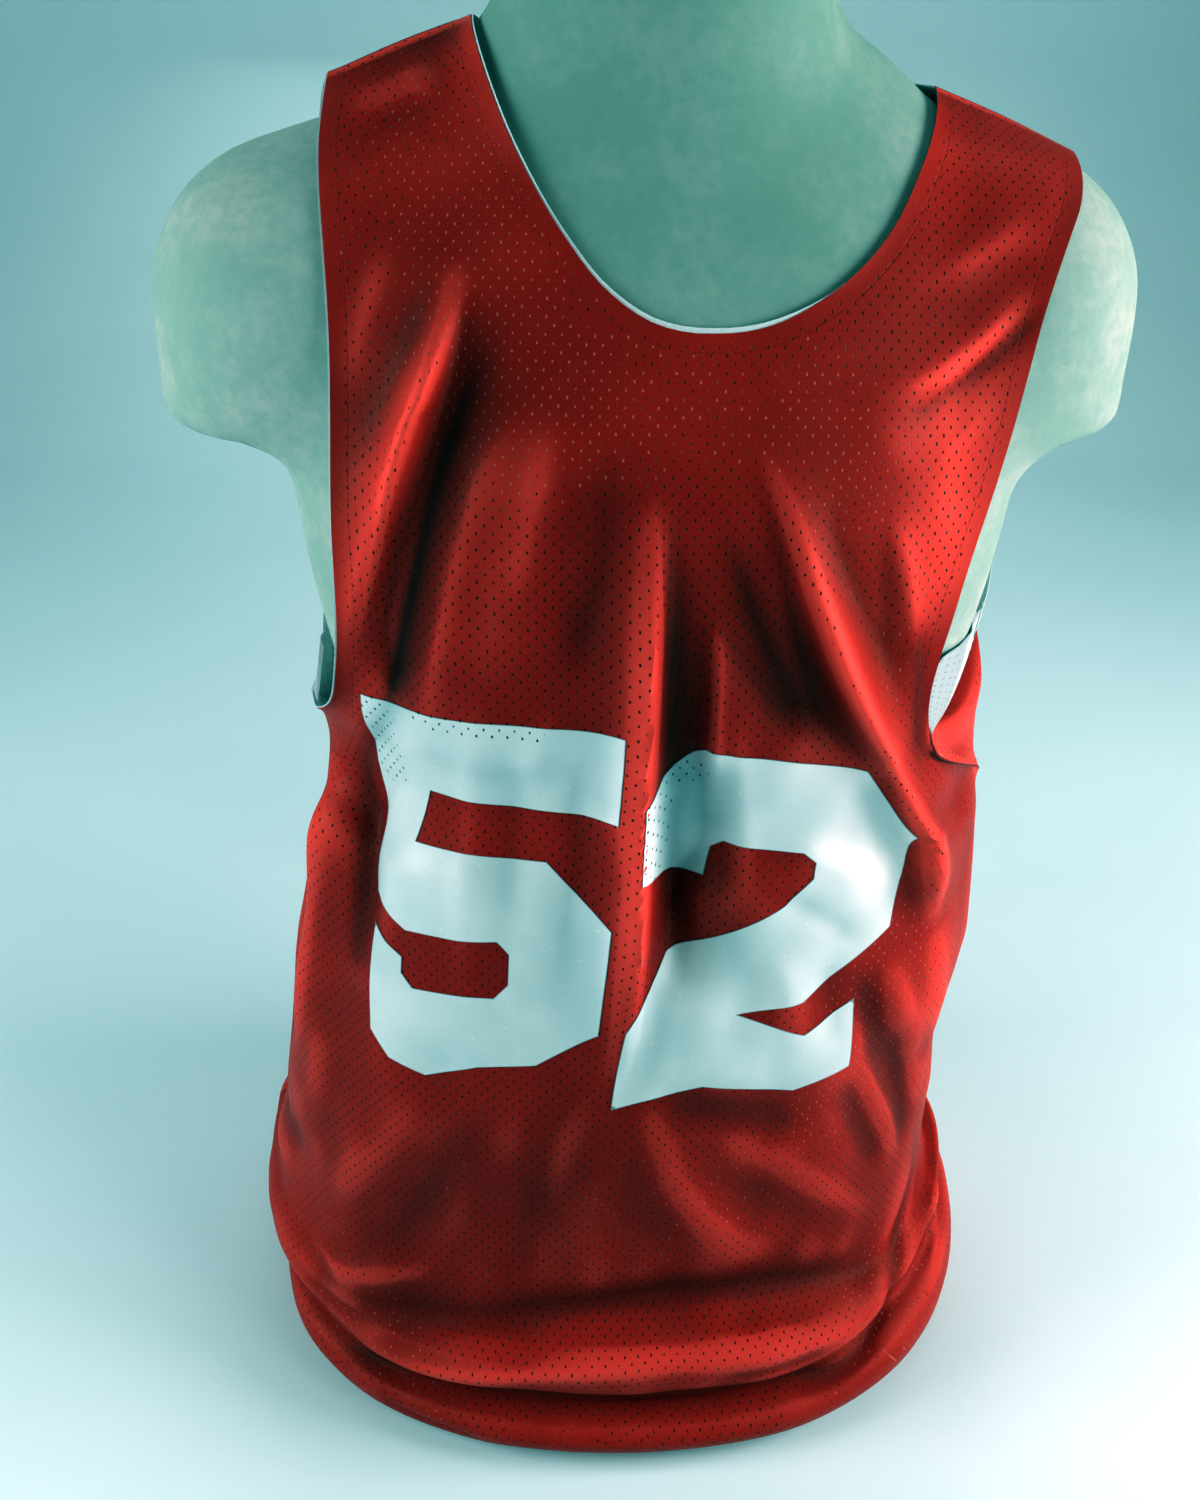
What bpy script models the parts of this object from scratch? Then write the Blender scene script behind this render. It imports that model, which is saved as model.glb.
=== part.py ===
"""A basketball jersey on a limbless torso form.

The jersey is a loose sleeveless shirt of two layers of mesh: red outside, white inside. Each panel is a
wall lofted between its neck and arm edges, the sections of the body and its hem, which is tucked under
in two rolls round the foot of the form. Tables are in centimetres, +Z up, -Y to the front, and "left"
and "right" are as seen from the front. The model itself is in metres.
"""
import math

import bmesh
import bpy
import numpy as np

CM = 0.01                 # the tables' unit, in metres
CENTRE = (0.0, -1.46)       # middle of the whole object's footprint (cm), moved to the origin
OUTER_WALL = 0.12         # red layer's thickness
LINING_WALL = 0.11        # white layer's thickness
GAP = 0.03                # between pieces
NUMBER_WALL = 0.10        # thickness of a numeral
CLEAR = 0.11              # least distance from cloth to form
LINING_INNER = OUTER_WALL + GAP + LINING_WALL
FORM_SIDES = 48


# ----------------------------------------------------------------- the form
# level z, half width, depth in front, depth behind, squareness (cm)
FORM_LEVELS = [
    (0.0, 17.0, 11.8, 12.2, 2.30),
    (8.0, 17.3, 12.0, 12.4, 2.35),
    (18.0, 16.6, 11.4, 11.6, 2.40),
    (27.0, 15.8, 10.8, 10.4, 2.40),
    (36.0, 16.3, 11.8, 10.9, 2.40),
    (45.0, 17.7, 12.7, 11.8, 2.40),
    (52.0, 19.0, 13.0, 12.4, 2.40),
    (58.0, 19.4, 12.4, 12.6, 2.40),
    (63.0, 18.4, 11.0, 12.2, 2.35),
    (68.0, 15.6, 9.0, 11.0, 2.20),
    (72.0, 12.2, 7.4, 9.2, 2.10),
    (76.0, 8.0, 6.2, 7.2, 2.00),
    (80.0, 6.4, 5.6, 6.4, 2.00),
]
FORM_LEAN = 0.4          # the trunk's centre, to the wearer's left
NECK_TOP = 88.0

def smooth_rows(rows, at, column):
    """A column of a table, read at any place by a cubic through its rows."""
    r = np.array(rows, float)
    x, y = r[:, 0], r[:, column]
    m = np.gradient(y, x)
    at = np.clip(at, x[0], x[-1])
    i = np.clip(np.searchsorted(x, at) - 1, 0, len(x) - 2)
    h = x[i + 1] - x[i]
    t = (at - x[i]) / h
    return ((2*t**3 - 3*t**2 + 1)*y[i] + (t**3 - 2*t**2 + t)*h*m[i]
            + (-2*t**3 + 3*t**2)*y[i + 1] + (t**3 - t**2)*h*m[i + 1])

def soft_min(a, b, k):
    h = np.clip(0.5 + 0.5*(b - a)/k, 0, 1)
    return b*(1 - h) + a*h - k*h*(1 - h)

def soft_max(a, b, k):
    return -soft_min(-a, -b, k)

def oval_reach(theta, left, right, front, back, square):
    """Distance from the axis to a squared oval in the direction theta (0 front, + to the right)."""
    s, c = np.sin(theta), np.cos(theta)
    a = np.where(s < 0, left, right)
    b = np.where(c > 0, front, back)
    return ((np.abs(s)/a)**square + (np.abs(c)/b)**square)**(-1/square)

def rod(p, start, end, r0, r1):
    a, b = np.array(start, float), np.array(end, float)
    pa, ba = p - a, b - a
    h = np.clip((pa @ ba)/(ba @ ba), 0, 1)
    return np.linalg.norm(pa - h[..., None]*ba, axis=-1) - (r0 + (r1 - r0)*h)

def form_gap(p):
    """Distance (cm) from points to the form's surface, negative inside."""
    p = np.asarray(p, float)
    x, y, z = p[..., 0] - FORM_LEAN, p[..., 1], p[..., 2]
    a = smooth_rows(FORM_LEVELS, z, 1)
    b = np.where(y < 0, smooth_rows(FORM_LEVELS, z, 2), smooth_rows(FORM_LEVELS, z, 3))
    n = smooth_rows(FORM_LEVELS, z, 4)
    rho = ((np.abs(x)/a)**n + (np.abs(y)/b)**n)**(1/n)
    trunk = np.sqrt(x*x + y*y + 1e-9)*(1 - 1/np.maximum(rho, 1e-6))
    q = p.copy()
    q[..., 0] = np.abs(q[..., 0])
    shoulder = rod(q, (8.0, 0.8, 65.3), (17.6, 0.6, 64.9), 8.0, 7.4)
    stub = rod(q, (17.8, 0.6, 64.6), (19.2, 0.3, 58.5), 7.0, 6.6)
    arm = soft_min(shoulder, stub, 2.5)
    arm = soft_max(arm, 58.6 - q[..., 2], 2.0)
    d = soft_min(trunk, arm, 3.6)
    slope = rod(q, (0, 1.6, 76.6), (13, 1.2, 69.2), 5.6, 4.1)
    d = soft_min(d, slope, 4.0)
    neck = rod(p, (0, 1.6, 74), (0.9, -0.6, 94), 5.9, 5.7)
    return soft_min(d, neck, 4.5)

def form_normal(p, e=0.05):
    g = np.zeros_like(p)
    for i in range(3):
        dp = np.zeros(3); dp[i] = e
        g[..., i] = form_gap(p + dp) - form_gap(p - dp)
    return g/np.maximum(np.linalg.norm(g, axis=-1, keepdims=True), 1e-9)

# ------------------------------------------------------------ the jersey's cut
REST = 0.40      # outer face of the cloth above the form where it lies on it

# Where the cloth hangs clear of the form: level, half width, depth in front, depth behind
HANG = [(40.4, 19.4, 14.3, 13.9), (44.0, 19.3, 14.1, 13.6), (48.0, 19.3, 13.9, 13.3), (52.5, 19.4, 13.6, 13.0), (57.0, 19.6, 13.0, 12.9)]

# Edges as worn, from the shoulder down: x, y, z (cm)
NECK_FRONT_LEFT = [(-9.1,0.8,78.05),(-8.9,-2.2,77.2),(-8.2,-4.4,75.4),(-7.0,-6.5,72.9),(-5.2,-8.1,70.1),(-3.3,-9.3,67.8),(-0.7,-10.1,66.15),(2.0,-10.2,65.75)]
NECK_FRONT_RIGHT = [(13.9,0.8,75.2),(13.2,-2.6,74.0),(12.0,-5.1,72.0),(10.5,-7.0,69.8),(8.7,-8.3,68.1),(6.6,-9.3,66.8),(4.4,-10.0,66.0),(2.0,-10.2,65.75)]
NECK_BACK_LEFT = [(-9.1,0.8,78.05),(-8.7,3.6,77.5),(-7.2,6.3,76.3),(-4.2,8.4,75.2),(-1.2,9.3,74.6),(2.0,9.6,74.3)]
NECK_BACK_RIGHT = [(13.9,0.8,75.2),(13.0,3.8,75.0),(11.2,6.2,74.8),(8.2,8.2,74.5),(5.2,9.2,74.3),(2.0,9.6,74.3)]
ARM_FRONT_LEFT = [(-16.1,0.9,75.4),(-16.2,-1.6,74.2),(-16.3,-3.3,72.8),(-16.2,-5.3,70.8),(-16.0,-6.9,68.2),(-15.9,-8.0,65.2),(-16.0,-8.7,61.8),(-16.2,-9.3,57.6),(-16.3,-9.9,53.4),(-16.4,-9.8,49.6),(-16.8,-8.6,46.4),(-17.7,-6.4,44.3),(-18.5,-4.0,43.0),(-19.0,-1.2,42.5)]
ARM_BACK_LEFT = [(-16.1,0.9,75.4),(-16.7,3.6,74.0),(-17.2,6.4,71.0),(-17.3,8.9,67.0),(-17.4,10.3,62.5),(-17.8,10.6,57.5),(-18.3,10.0,52.5),(-18.6,8.2,48.2),(-18.7,5.4,45.0),(-18.7,2.4,43.2),(-19.0,-1.2,42.5)]
ARM_FRONT_RIGHT = [(21.3,0.6,72.3),(20.9,-2.0,71.9),(20.3,-4.6,70.9),(19.2,-6.6,68.9),(18.4,-7.6,66.6),(17.9,-8.0,63.6),(17.4,-8.4,60.6),(16.6,-9.2,57.4),(15.7,-10.1,54.4),(15.0,-10.8,51.5),(14.5,-11.1,49.0),(14.3,-11.2,46.6),(14.7,-10.8,44.8)]
ARM_BACK_RIGHT = [(21.3,0.6,72.3),(21.7,3.2,71.2),(21.5,6.0,68.6),(20.9,8.2,64.6),(20.8,8.6,60.0),(21.1,7.4,55.6),(21.2,4.6,52.0),(20.7,1.2,49.1),(19.4,-2.0,46.6),(17.9,-5.0,45.3),(16.3,-8.0,44.7),(14.7,-10.8,44.8)]
SPLIT = {"front_left": 0.47, "front_right": 0.47, "back_left": 0.40, "back_right": 0.37}

# level, left, right, front, back, squareness, tilt, upper roll, lower roll
SECTIONS = [
    (43.6, 18.5, 20.0, 14.1, 13.8, 2.30, 1.2, 0, 0),
    (40.4, 17.8, 20.2, 14.5, 14.0, 2.30, 0.7, 0, 0),
    (36.4, 18.5, 20.3, 14.9, 14.2, 2.30, 0.2, 0, 0),
    (31.5, 19.4, 21.0, 15.4, 14.5, 2.30, 0.0, 0, 0),
    (26.5, 20.4, 21.5, 16.0, 14.9, 2.30, 0.0, 0, 0),
    (22.5, 21.4, 20.3, 16.4, 15.2, 2.30, 0.0, 0, 0),
    (18.0, 22.2, 20.1, 16.9, 15.6, 2.32, 0.0, 0, 0),
    (13.5, 22.8, 20.2, 17.3, 16.0, 2.35, 0.0, 0, 0),
    (10.0, 23.2, 20.4, 17.8, 16.3, 2.40, 0.0, 0, 0),
    (8.2, 23.1, 20.4, 18.2, 16.6, 2.45, 0.0, 0.3, 0),
    (6.9, 23.0, 20.6, 18.6, 16.8, 2.50, 0.0, 0.85, 0),
    (5.4, 23.0, 20.9, 18.7, 16.9, 2.50, 0.0, 1.0, 0),
    (4.1, 23.0, 21.1, 18.7, 16.9, 2.50, 0.0, 0.55, 0),
    (3.6, 22.9, 21.3, 18.8, 16.9, 2.50, 0.0, 0.0, 0.25),
    (3.1, 22.9, 21.4, 18.9, 16.9, 2.50, 0.0, 0, 0.75),
    (2.0, 22.8, 21.5, 18.9, 16.9, 2.50, 0.0, 0, 1.0),
    (0.7, 22.6, 21.4, 18.9, 16.8, 2.50, 0.0, 0, 0.8),
    (0.0, 22.2, 21.0, 18.6, 16.5, 2.50, 0.0, 0, 0.45),
    (0.0, 19.4, 18.6, 16.0, 14.2, 2.40, 0.0, 0, 0),
]
# direction (degrees, 0 front, + right), upper roll out, lower roll out (cm), lift of the fold between
ROLLS = [
    (-180, 1.6, 2.2, 0.4), (-140, 1.2, 2.6, 0.9), (-105, 1.6, 1.6, 1.2), (-80, 1.4, 0.6, 0.6), (-55, 1.3, 1.9, 0.2),
    (-25, 1.7, 2.9, 0.0), (5, 2.1, 3.2, 0.0), (35, 1.7, 2.6, 0.6), (60, 0.7, 1.9, 2.6),
    (85, 0.9, 1.4, 3.4), (120, 1.8, 1.2, 1.5), (150, 1.9, 2.0, 0.6), (180, 1.6, 2.2, 0.4),
]
# level, directions (degrees) of the left side seam, the front's middle, the right side seam and the back's middle
SEAMS = [(-1.0, -97, -4, 100, 181), (12.0, -98, -6, 101, 181), (24.0, -98, -7, 101, 181), (32.0, -97, -8, 95, 180),
         (36.0, -96, -8, 86, 179), (39.0, -94, -7, 76, 178), (41.0, -94, -6, 65, 177), (42.6, -93, -5, 56.5, 175), (43.8, -93, -4, 53.7, 174),
         (45.5, -93, -4, 53.5, 174)]

def periodic_rows(rows, deg, column):
    r = np.array(rows, float)
    x = np.concatenate([r[:-1, 0] - 360, r[:, 0], r[1:, 0] + 360])
    y = np.concatenate([r[:-1, column], r[:, column], r[1:, column]])
    return smooth_rows(np.stack([x, y], 1), deg, 1)

def section_point(row, theta):
    """row: fractional row index into SECTIONS; theta in radians -> point (cm)."""
    rows = np.array(SECTIONS, float)
    idx = np.arange(len(rows))
    tab = np.column_stack([idx, rows])
    v = [smooth_rows(tab, row, k + 1) for k in range(9)]
    level, left, right, front, back, square, tilt, up, low = v
    deg = (np.degrees(theta) + 180) % 360 - 180
    r = oval_reach(theta, left, right, front, back, square)
    r = r + up*periodic_rows(ROLLS, deg, 1) + low*periodic_rows(ROLLS, deg, 2)
    lift = periodic_rows(ROLLS, deg, 3)
    near = np.exp(-((level - 4.6)/3.2)**2)*np.clip((level)/2.0, 0, 1)
    z = level + tilt*np.cos(theta - math.radians(54)) + lift*near
    z = np.maximum(z, 0.0)
    return np.stack(np.broadcast_arrays(r*np.sin(theta), -r*np.cos(theta), z), -1)

def line_through(rows, n, start=0.0, end=1.0):
    """n+1 points, evenly spaced along a smooth line through a table's rows, from start to end of its length."""
    p = np.array(rows, float)
    d = np.concatenate([[0], np.cumsum(np.linalg.norm(np.diff(p, axis=0), axis=1))])
    fine = np.linspace(0, d[-1], 600)
    q = np.stack([smooth_rows(np.column_stack([d, p[:, k]]), fine, 1) for k in range(p.shape[1])], 1)
    s = np.concatenate([[0], np.cumsum(np.linalg.norm(np.diff(q, axis=0), axis=1))])
    want = s[-1]*(start + (end - start)*np.linspace(0, 1, n + 1))
    return np.stack([np.interp(want, s, q[:, k]) for k in range(p.shape[1])], 1)

def coons(top, bottom, left, right):
    """A patch between four lines: top and bottom run left to right, left and right run down."""
    nu, nv = len(top) - 1, len(left) - 1
    u = np.linspace(0, 1, nu + 1)[None, :, None]
    v = np.linspace(0, 1, nv + 1)[:, None, None]
    a = (1 - v)*top[None] + v*bottom[None]
    b = (1 - u)*left[:, None] + u*right[:, None]
    c = ((1 - u)*(1 - v)*top[0] + u*(1 - v)*top[-1] + (1 - u)*v*bottom[0] + u*v*bottom[-1])
    return a + b - c

# flat pattern (cm): s across from the centre, t down from the top of the shoulder
FLAT = {
    "front": {"shoulder_out": (19.0, 2.2), "shoulder_in": (11.6, 0.0), "neck_low": 17.0, "arm_low": (29.0, 37.0),
              "arm": [(19.0,2.2),(18.2,9.0),(17.9,16.0),(18.6,22.0),(20.6,28.0),(24.0,33.2),(29.0,37.0)],
              "neck": [(11.6,0.0),(11.0,5.0),(9.4,10.0),(6.6,14.2),(3.2,16.5),(0.0,17.0)]},
    "back": {"shoulder_out": (19.0, 2.2), "shoulder_in": (11.6, 0.0), "neck_low": 6.5, "arm_low": (29.0, 37.0),
             "arm": [(19.0,2.2),(18.4,9.0),(18.2,16.0),(19.0,22.0),(21.0,28.0),(24.4,33.2),(29.0,37.0)],
             "neck": [(11.6,0.0),(10.6,2.6),(8.0,4.8),(4.2,6.1),(0.0,6.5)]},
}
LENGTH = 88.0


# Folds. face, lift (cm, minus for a trough), half width (cm), then places along it: across and up (cm)
FOLDS = [
    ("front", 1.3, 1.5, (-9.4, 69.3), (-10.6, 65.6), (-11.9, 62.2), (-12.9, 58.9), (-14.2, 54.9), (-15.1, 50.5), (-15.9, 45.3), (-17.0, 37.5), (-18.3, 29.5)),
    ("front", -1.2, 1.3, (-8.0, 66.9), (-9.3, 63.9), (-10.8, 59.9), (-12.0, 55.5), (-13.3, 50.3), (-14.2, 46.4), (-15.2, 40.0), (-15.9, 33.9), (-16.5, 29.1)),
    ("front", 0.9, 1.6, (-6.6, 64.5), (-8.6, 59.0), (-9.8, 54.5), (-10.8, 49.0), (-11.6, 43.5)),
    ("front", -0.5, 1.1, (-10.6, 68.3), (-12.6, 64.8), (-14.4, 61.6), (-15.4, 59.0)),
    ("front", 1.4, 1.2, (-1.0, 60.5), (-1.0, 55.6), (-1.2, 48.3), (-1.3, 42.0), (-1.5, 36.0), (-1.9, 27.8), (-2.2, 23.5)),
    ("front", -1.5, 1.1, (0.4, 58.5), (0.7, 54.0), (0.9, 47.7), (1.1, 40.3), (1.2, 34.9), (1.3, 30.0)),
    ("front", -0.9, 1.1, (1.9, 58.6), (3.0, 56.3), (4.2, 53.0), (6.3, 49.1), (8.0, 45.3)),
    ("front", 2.0, 1.2, (4.0, 62.2), (4.9, 59.8), (6.2, 57.2), (7.6, 53.7), (9.9, 48.4), (12.1, 44.5), (14.2, 39.4), (15.6, 35.0), (16.3, 31.5)),
    ("front", -0.7, 1.3, (7.8, 59.8), (9.5, 55.0), (11.6, 50.2), (13.2, 45.8)),
    ("front", 0.8, 1.2, (10.6, 58.6), (12.2, 54.8), (13.5, 50.5), (14.4, 46.0), (15.4, 42.0)),
    ("front", -0.9, 1.1, (11.8, 31.6), (13.0, 27.4), (14.4, 23.0), (15.8, 19.0)),
    ("front", 0.7, 1.1, (16.4, 33.0), (17.5, 26.0), (18.4, 18.0), (19.0, 12.5)),
    ("front", -0.9, 1.5, (0.0, 24.6), (3.5, 23.6), (6.9, 22.2), (10.0, 20.6)),
    ("front", 1.0, 1.5, (-0.4, 25.8), (0.4, 22.5), (1.6, 18.6), (4.4, 14.6), (9.0, 11.6)),
    ("front", -0.8, 1.7, (-9.4, 23.4), (-11.6, 18.0), (-14.6, 13.2), (-17.6, 9.2)),
    ("front", 0.7, 1.6, (-12.6, 24.4), (-14.6, 19.6), (-17.4, 15.4), (-20.4, 11.0)),
    ("back", 1.5, 1.7, (-8.0, 66.0), (-8.8, 54.0), (-10.2, 40.0), (-11.5, 24.0)),
    ("back", -1.2, 1.5, (-5.6, 63.0), (-5.4, 50.0), (-6.2, 36.0), (-7.0, 20.0)),
    ("back", 1.4, 1.6, (1.4, 64.0), (1.0, 50.0), (0.2, 36.0), (-0.8, 20.0)),
    ("back", -1.1, 1.4, (4.6, 60.0), (5.2, 46.0), (6.6, 30.0)),
    ("back", 1.6, 1.7, (10.6, 66.0), (11.8, 54.0), (13.2, 42.0), (14.2, 26.0)),
    ("back", -0.9, 1.2, (14.6, 56.0), (15.2, 46.0), (16.8, 34.0)),
    ("back", -0.7, 1.3, (-12.6, 58.0), (-13.2, 47.0), (-15.0, 34.0)),
    ("back", 0.9, 1.3, (-3.6, 23.0), (0.6, 17.5), (5.6, 13.2), (10.8, 10.5)),
    ("back", -0.8, 1.3, (-7.0, 22.0), (-3.4, 16.0), (2.0, 11.6)),
    ("left", 1.2, 1.4, (-5.0, 41.0), (-5.8, 30.0), (-6.4, 18.0)),
    ("left", -1.2, 1.2, (-1.8, 40.0), (-1.6, 29.0), (-2.6, 17.0)),
    ("left", 1.1, 1.5, (5.0, 41.0), (5.6, 28.0), (5.0, 15.0)),
    ("right", 1.1, 1.4, (-4.6, 42.0), (-3.8, 35.0), (-3.0, 27.0)),
    ("right", -0.9, 1.2, (-1.4, 42.0), (-0.6, 34.0), (0.0, 26.5)),
    ("right", 0.9, 1.5, (3.8, 42.0), (4.6, 31.0), (4.0, 18.0)),
]

# Numerals on the flat cut: corners, across from the middle and down from the shoulder (cm)
NUMBERS = {
    "number_5": [(-15.9, 35.8), (-2.0, 35.9), (-2.1, 41.3), (-12.6, 41.4), (-13.4, 44.6), (-5.6, 44.2), (-2.1, 47.4),
                 (-2.3, 54.4), (-5.6, 56.9), (-9.0, 57.6), (-12.2, 58.9), (-14.6, 58.4), (-16.0, 57.0), (-16.3, 50.5),
                 (-15.0, 51.2), (-13.8, 51.7), (-13.8, 52.7), (-13.0, 53.4), (-8.1, 52.9), (-7.3, 51.9), (-7.3, 50.0),
                 (-8.0, 49.3), (-13.6, 50.0), (-16.5, 48.7), (-16.7, 41.0)],
    "number_2": [(-0.9, 39.9), (2.4, 37.0), (11.4, 38.6), (14.8, 43.0), (14.2, 48.9), (8.9, 52.6), (5.3, 53.2),
                 (9.3, 54.9), (12.4, 53.2), (12.6, 57.8), (9.3, 59.0), (3.8, 58.0), (-1.3, 59.5), (-1.0, 53.9),
                 (1.2, 49.4), (7.5, 46.5), (9.0, 45.0), (9.0, 44.0), (8.2, 43.3), (3.9, 42.7), (3.3, 43.2), (3.0, 44.8),
                 (-0.9, 44.6)],
}

# columns from arm edge to middle, rows of the strap, rows of the chest; rows below the armholes
GRID = {"front": (12, 6, 10), "back": (9, 5, 8), "below": 24}
LINING_ROWS_BELOW = 1

# base grid: columns from an armhole to the middle, rows of a strap, of the chest, of the sections below
BASE = {"columns": 12, "strap": 8, "chest": 8, "below": 36}


def base_panel(side, settle=220):
    """The outer face of one panel before its folds: left strap, right strap and body, each a grid of
    points as worn (cm) and of places on the flat cut (cm across from the middle, cm down)."""
    nA, nU, nM, nL = BASE["columns"], BASE["strap"], BASE["chest"], BASE["below"]
    sign = {"front": 1, "back": -1}[side]
    if side == "front":
        first = dict(arm=ARM_FRONT_LEFT, neck=NECK_FRONT_LEFT, split=SPLIT["front_left"])
        last = dict(arm=ARM_FRONT_RIGHT, neck=NECK_FRONT_RIGHT, split=SPLIT["front_right"])
    else:
        first = dict(arm=ARM_BACK_RIGHT, neck=NECK_BACK_RIGHT, split=SPLIT["back_right"])
        last = dict(arm=ARM_BACK_LEFT, neck=NECK_BACK_LEFT, split=SPLIT["back_left"])
    flat = FLAT[side]
    mirror = lambda pts: [(-a, b) for a, b in pts]

    def strap(edge, flat_arm, flat_neck):
        arm = line_through(edge["arm"], nU, 0, edge["split"])
        neck = line_through(edge["neck"], nU)
        middle = 0.5*(np.array(edge["arm"][0]) + np.array(edge["neck"][0])) + (0, 0, 0.10)
        top = line_through([edge["arm"][0], tuple(middle), edge["neck"][0]], nA)
        dip = 0.5*(arm[-1] + neck[-1]) + np.array([0, -0.8*sign, -0.9])
        low = line_through([tuple(arm[-1]), tuple(dip), tuple(neck[-1])], nA)
        fa = line_through(flat_arm, nU, 0, edge["split"])
        fn = line_through(flat_neck, nU)
        ft = line_through([flat_arm[0], flat_neck[0]], nA)
        fl = line_through([tuple(fa[-1]), tuple(fn[-1])], nA)
        return coons(top, low, arm, neck), coons(ft, fl, fa, fn)

    P1, F1 = strap(first, mirror(flat["arm"]), mirror(flat["neck"]))
    P2, F2 = strap(last, flat["arm"], flat["neck"])
    P2, F2 = P2[:, ::-1], F2[:, ::-1]
    # the body below the chest: rows on the sections, columns even between the seams and the middle
    ns = len(SECTIONS) - 1
    rows = ns*np.linspace(0, 1, nL + 1)
    level = np.array([section_point(r, 0.0)[2] for r in rows])
    names = (1, 2, 3) if side == "front" else (3, 4, 1)
    a0, am, a1 = [np.radians(smooth_rows(SEAMS, level, k)) for k in names]
    if side == "back":
        a1 = a1 + 2*np.pi

    def even(start, end):
        th = start[:, None] + (end - start)[:, None]*np.linspace(0, 1, 60)[None]
        p = section_point(np.repeat(rows[:, None], 60, 1), th)
        step = np.linalg.norm(np.diff(p, axis=1), axis=2)
        run = np.concatenate([np.zeros((len(rows), 1)), np.cumsum(step, axis=1)], 1)
        return np.stack([np.interp(np.linspace(0, q[-1], nA + 1), q, t) for q, t in zip(run, th)])

    turn = np.concatenate([even(a0, am), even(am, a1)[:, 1:]], 1)
    low = section_point(np.repeat(rows[:, None], 2*nA + 1, 1), turn)
    armL = line_through(first["arm"], nM, first["split"], 1)
    armR = line_through(last["arm"], nM, last["split"], 1)
    # the first section starts and ends on the armholes' lowest points
    w = np.linspace(0, 1, 2*nA + 1)
    fade = np.clip(1 - rows/2.0, 0, 1)[:, None]**2
    low = low + fade[..., None]*((1 - w)[None, :, None]**3*(armL[-1] - low[0, 0])
                                 + (w**3)[None, :, None]*(armR[-1] - low[0, -1]))
    mid = coons(np.concatenate([P1[-1], P2[-1, 1:]]), low[0], armL, armR)
    fL = line_through(mirror(flat["arm"]), nM, first["split"], 1)
    fR = line_through(flat["arm"], nM, last["split"], 1)
    half, arm_t = flat["arm"][-1]
    frow = np.stack([np.linspace(-half, half, 2*nA + 1), np.full(2*nA + 1, arm_t)], 1)
    midF = coons(np.concatenate([F1[-1], F2[-1, 1:]]), frow, fL, fR)
    down = np.concatenate([[0], np.cumsum(np.linalg.norm(np.diff(low, axis=0), axis=2).mean(1))])
    lowF = np.stack([np.repeat(frow[None, :, 0], nL + 1, 0), arm_t + np.repeat(down[:, None], 2*nA + 1, 1)], -1)
    # number the points, the strap's lowest row being the body's first
    V, F = [], []

    def add(P, Q):
        n = len(V)
        V.extend(P)
        F.extend(Q)
        return n + np.arange(len(P))

    idL = np.stack([add(P1[r], F1[r]) for r in range(nU + 1)])
    idR = np.zeros((nU + 1, nA + 1), int)
    for r in range(nU):
        idR[r] = add(P2[r], F2[r])
    idR[nU, 1:] = add(P2[nU, 1:], F2[nU, 1:])
    idR[nU, 0] = idL[nU, nA]
    body = [np.concatenate([idL[nU], idR[nU, 1:]])]
    for r in range(1, nM + 1):
        body.append(add(mid[r], midF[r]))
    for r in range(1, nL + 1):
        body.append(add(low[r], lowF[r]))
    body = np.stack(body)
    V, F = np.array(V), np.array(F)
    blocks = (idL, idR, body)
    Q = np.concatenate([quads_of(b) for b in blocks])
    # the edges and the lower sections stay, the rest settles to an even sheet that the form holds up
    fixed = np.zeros(len(V), bool)
    for line in (idL[:, 0], idL[:, -1], idL[0], idR[:, 0], idR[:, -1], idR[0], body[:, 0], body[:, -1], body[-1]):
        fixed[line] = True
    keep = max(2, int(round(nL*2.2/ns)))
    fixed[body[nM + keep:].ravel()] = True
    E = edges_of(Q)
    near = 1/(np.linalg.norm(V[E[:, 0]] - V[E[:, 1]], axis=1)**2 + 0.3)
    even_pull = np.ones(len(E))
    for k in range(settle):
        V[~fixed] = neighbour_mean(V, E, near)[~fixed]
        F[~fixed] = neighbour_mean(F, E, even_pull)[~fixed]
        if k % 4 == 3 or k == settle - 1:
            g = form_gap(V)
            lay = (g < REST) & (V[:, 2] > 30)
            V[lay] += (REST - g[lay])[:, None]*form_normal(V[lay])
            r = np.hypot(V[:, 0] - FORM_LEAN, V[:, 1])
            short = np.where(fixed, 0, hang_reach(V) - r)
            V[:, 0] += np.maximum(short, 0)*(V[:, 0] - FORM_LEAN)/r
            V[:, 1] += np.maximum(short, 0)*V[:, 1]/r
    F = true_lengths(V, F, Q)
    return [(V[b], F[b]) for b in blocks]


def true_lengths(V, F, Q, passes=900):
    """The flat cut let out until its lengths agree with the cloth as worn, then set back where it was."""
    E = np.concatenate([edges_of(Q), Q[:, [0, 2]], Q[:, [1, 3]]])
    a, b = E[:, 0], E[:, 1]
    L = np.linalg.norm(V[a] - V[b], axis=1)
    count = np.bincount(np.concatenate([a, b]), minlength=len(V))
    X, last = F.copy(), F.copy()
    for _ in range(passes):
        d = X[a] - X[b]
        n = np.maximum(np.linalg.norm(d, axis=1), 1e-9)
        move = (0.5*(L - n)/n)[:, None]*d
        step = np.stack([np.bincount(a, move[:, k], len(V)) - np.bincount(b, move[:, k], len(V)) for k in (0, 1)], 1)
        X, last = X + 1.3*step/count[:, None] + 0.85*(X - last), X
    P, R = X - X.mean(0), F - F.mean(0)
    turn = math.atan2((P[:, 0]*R[:, 1] - P[:, 1]*R[:, 0]).sum(), (P*R).sum())
    c, s = math.cos(turn), math.sin(turn)
    return P @ np.array([[c, s], [-s, c]]) + F.mean(0)


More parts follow.
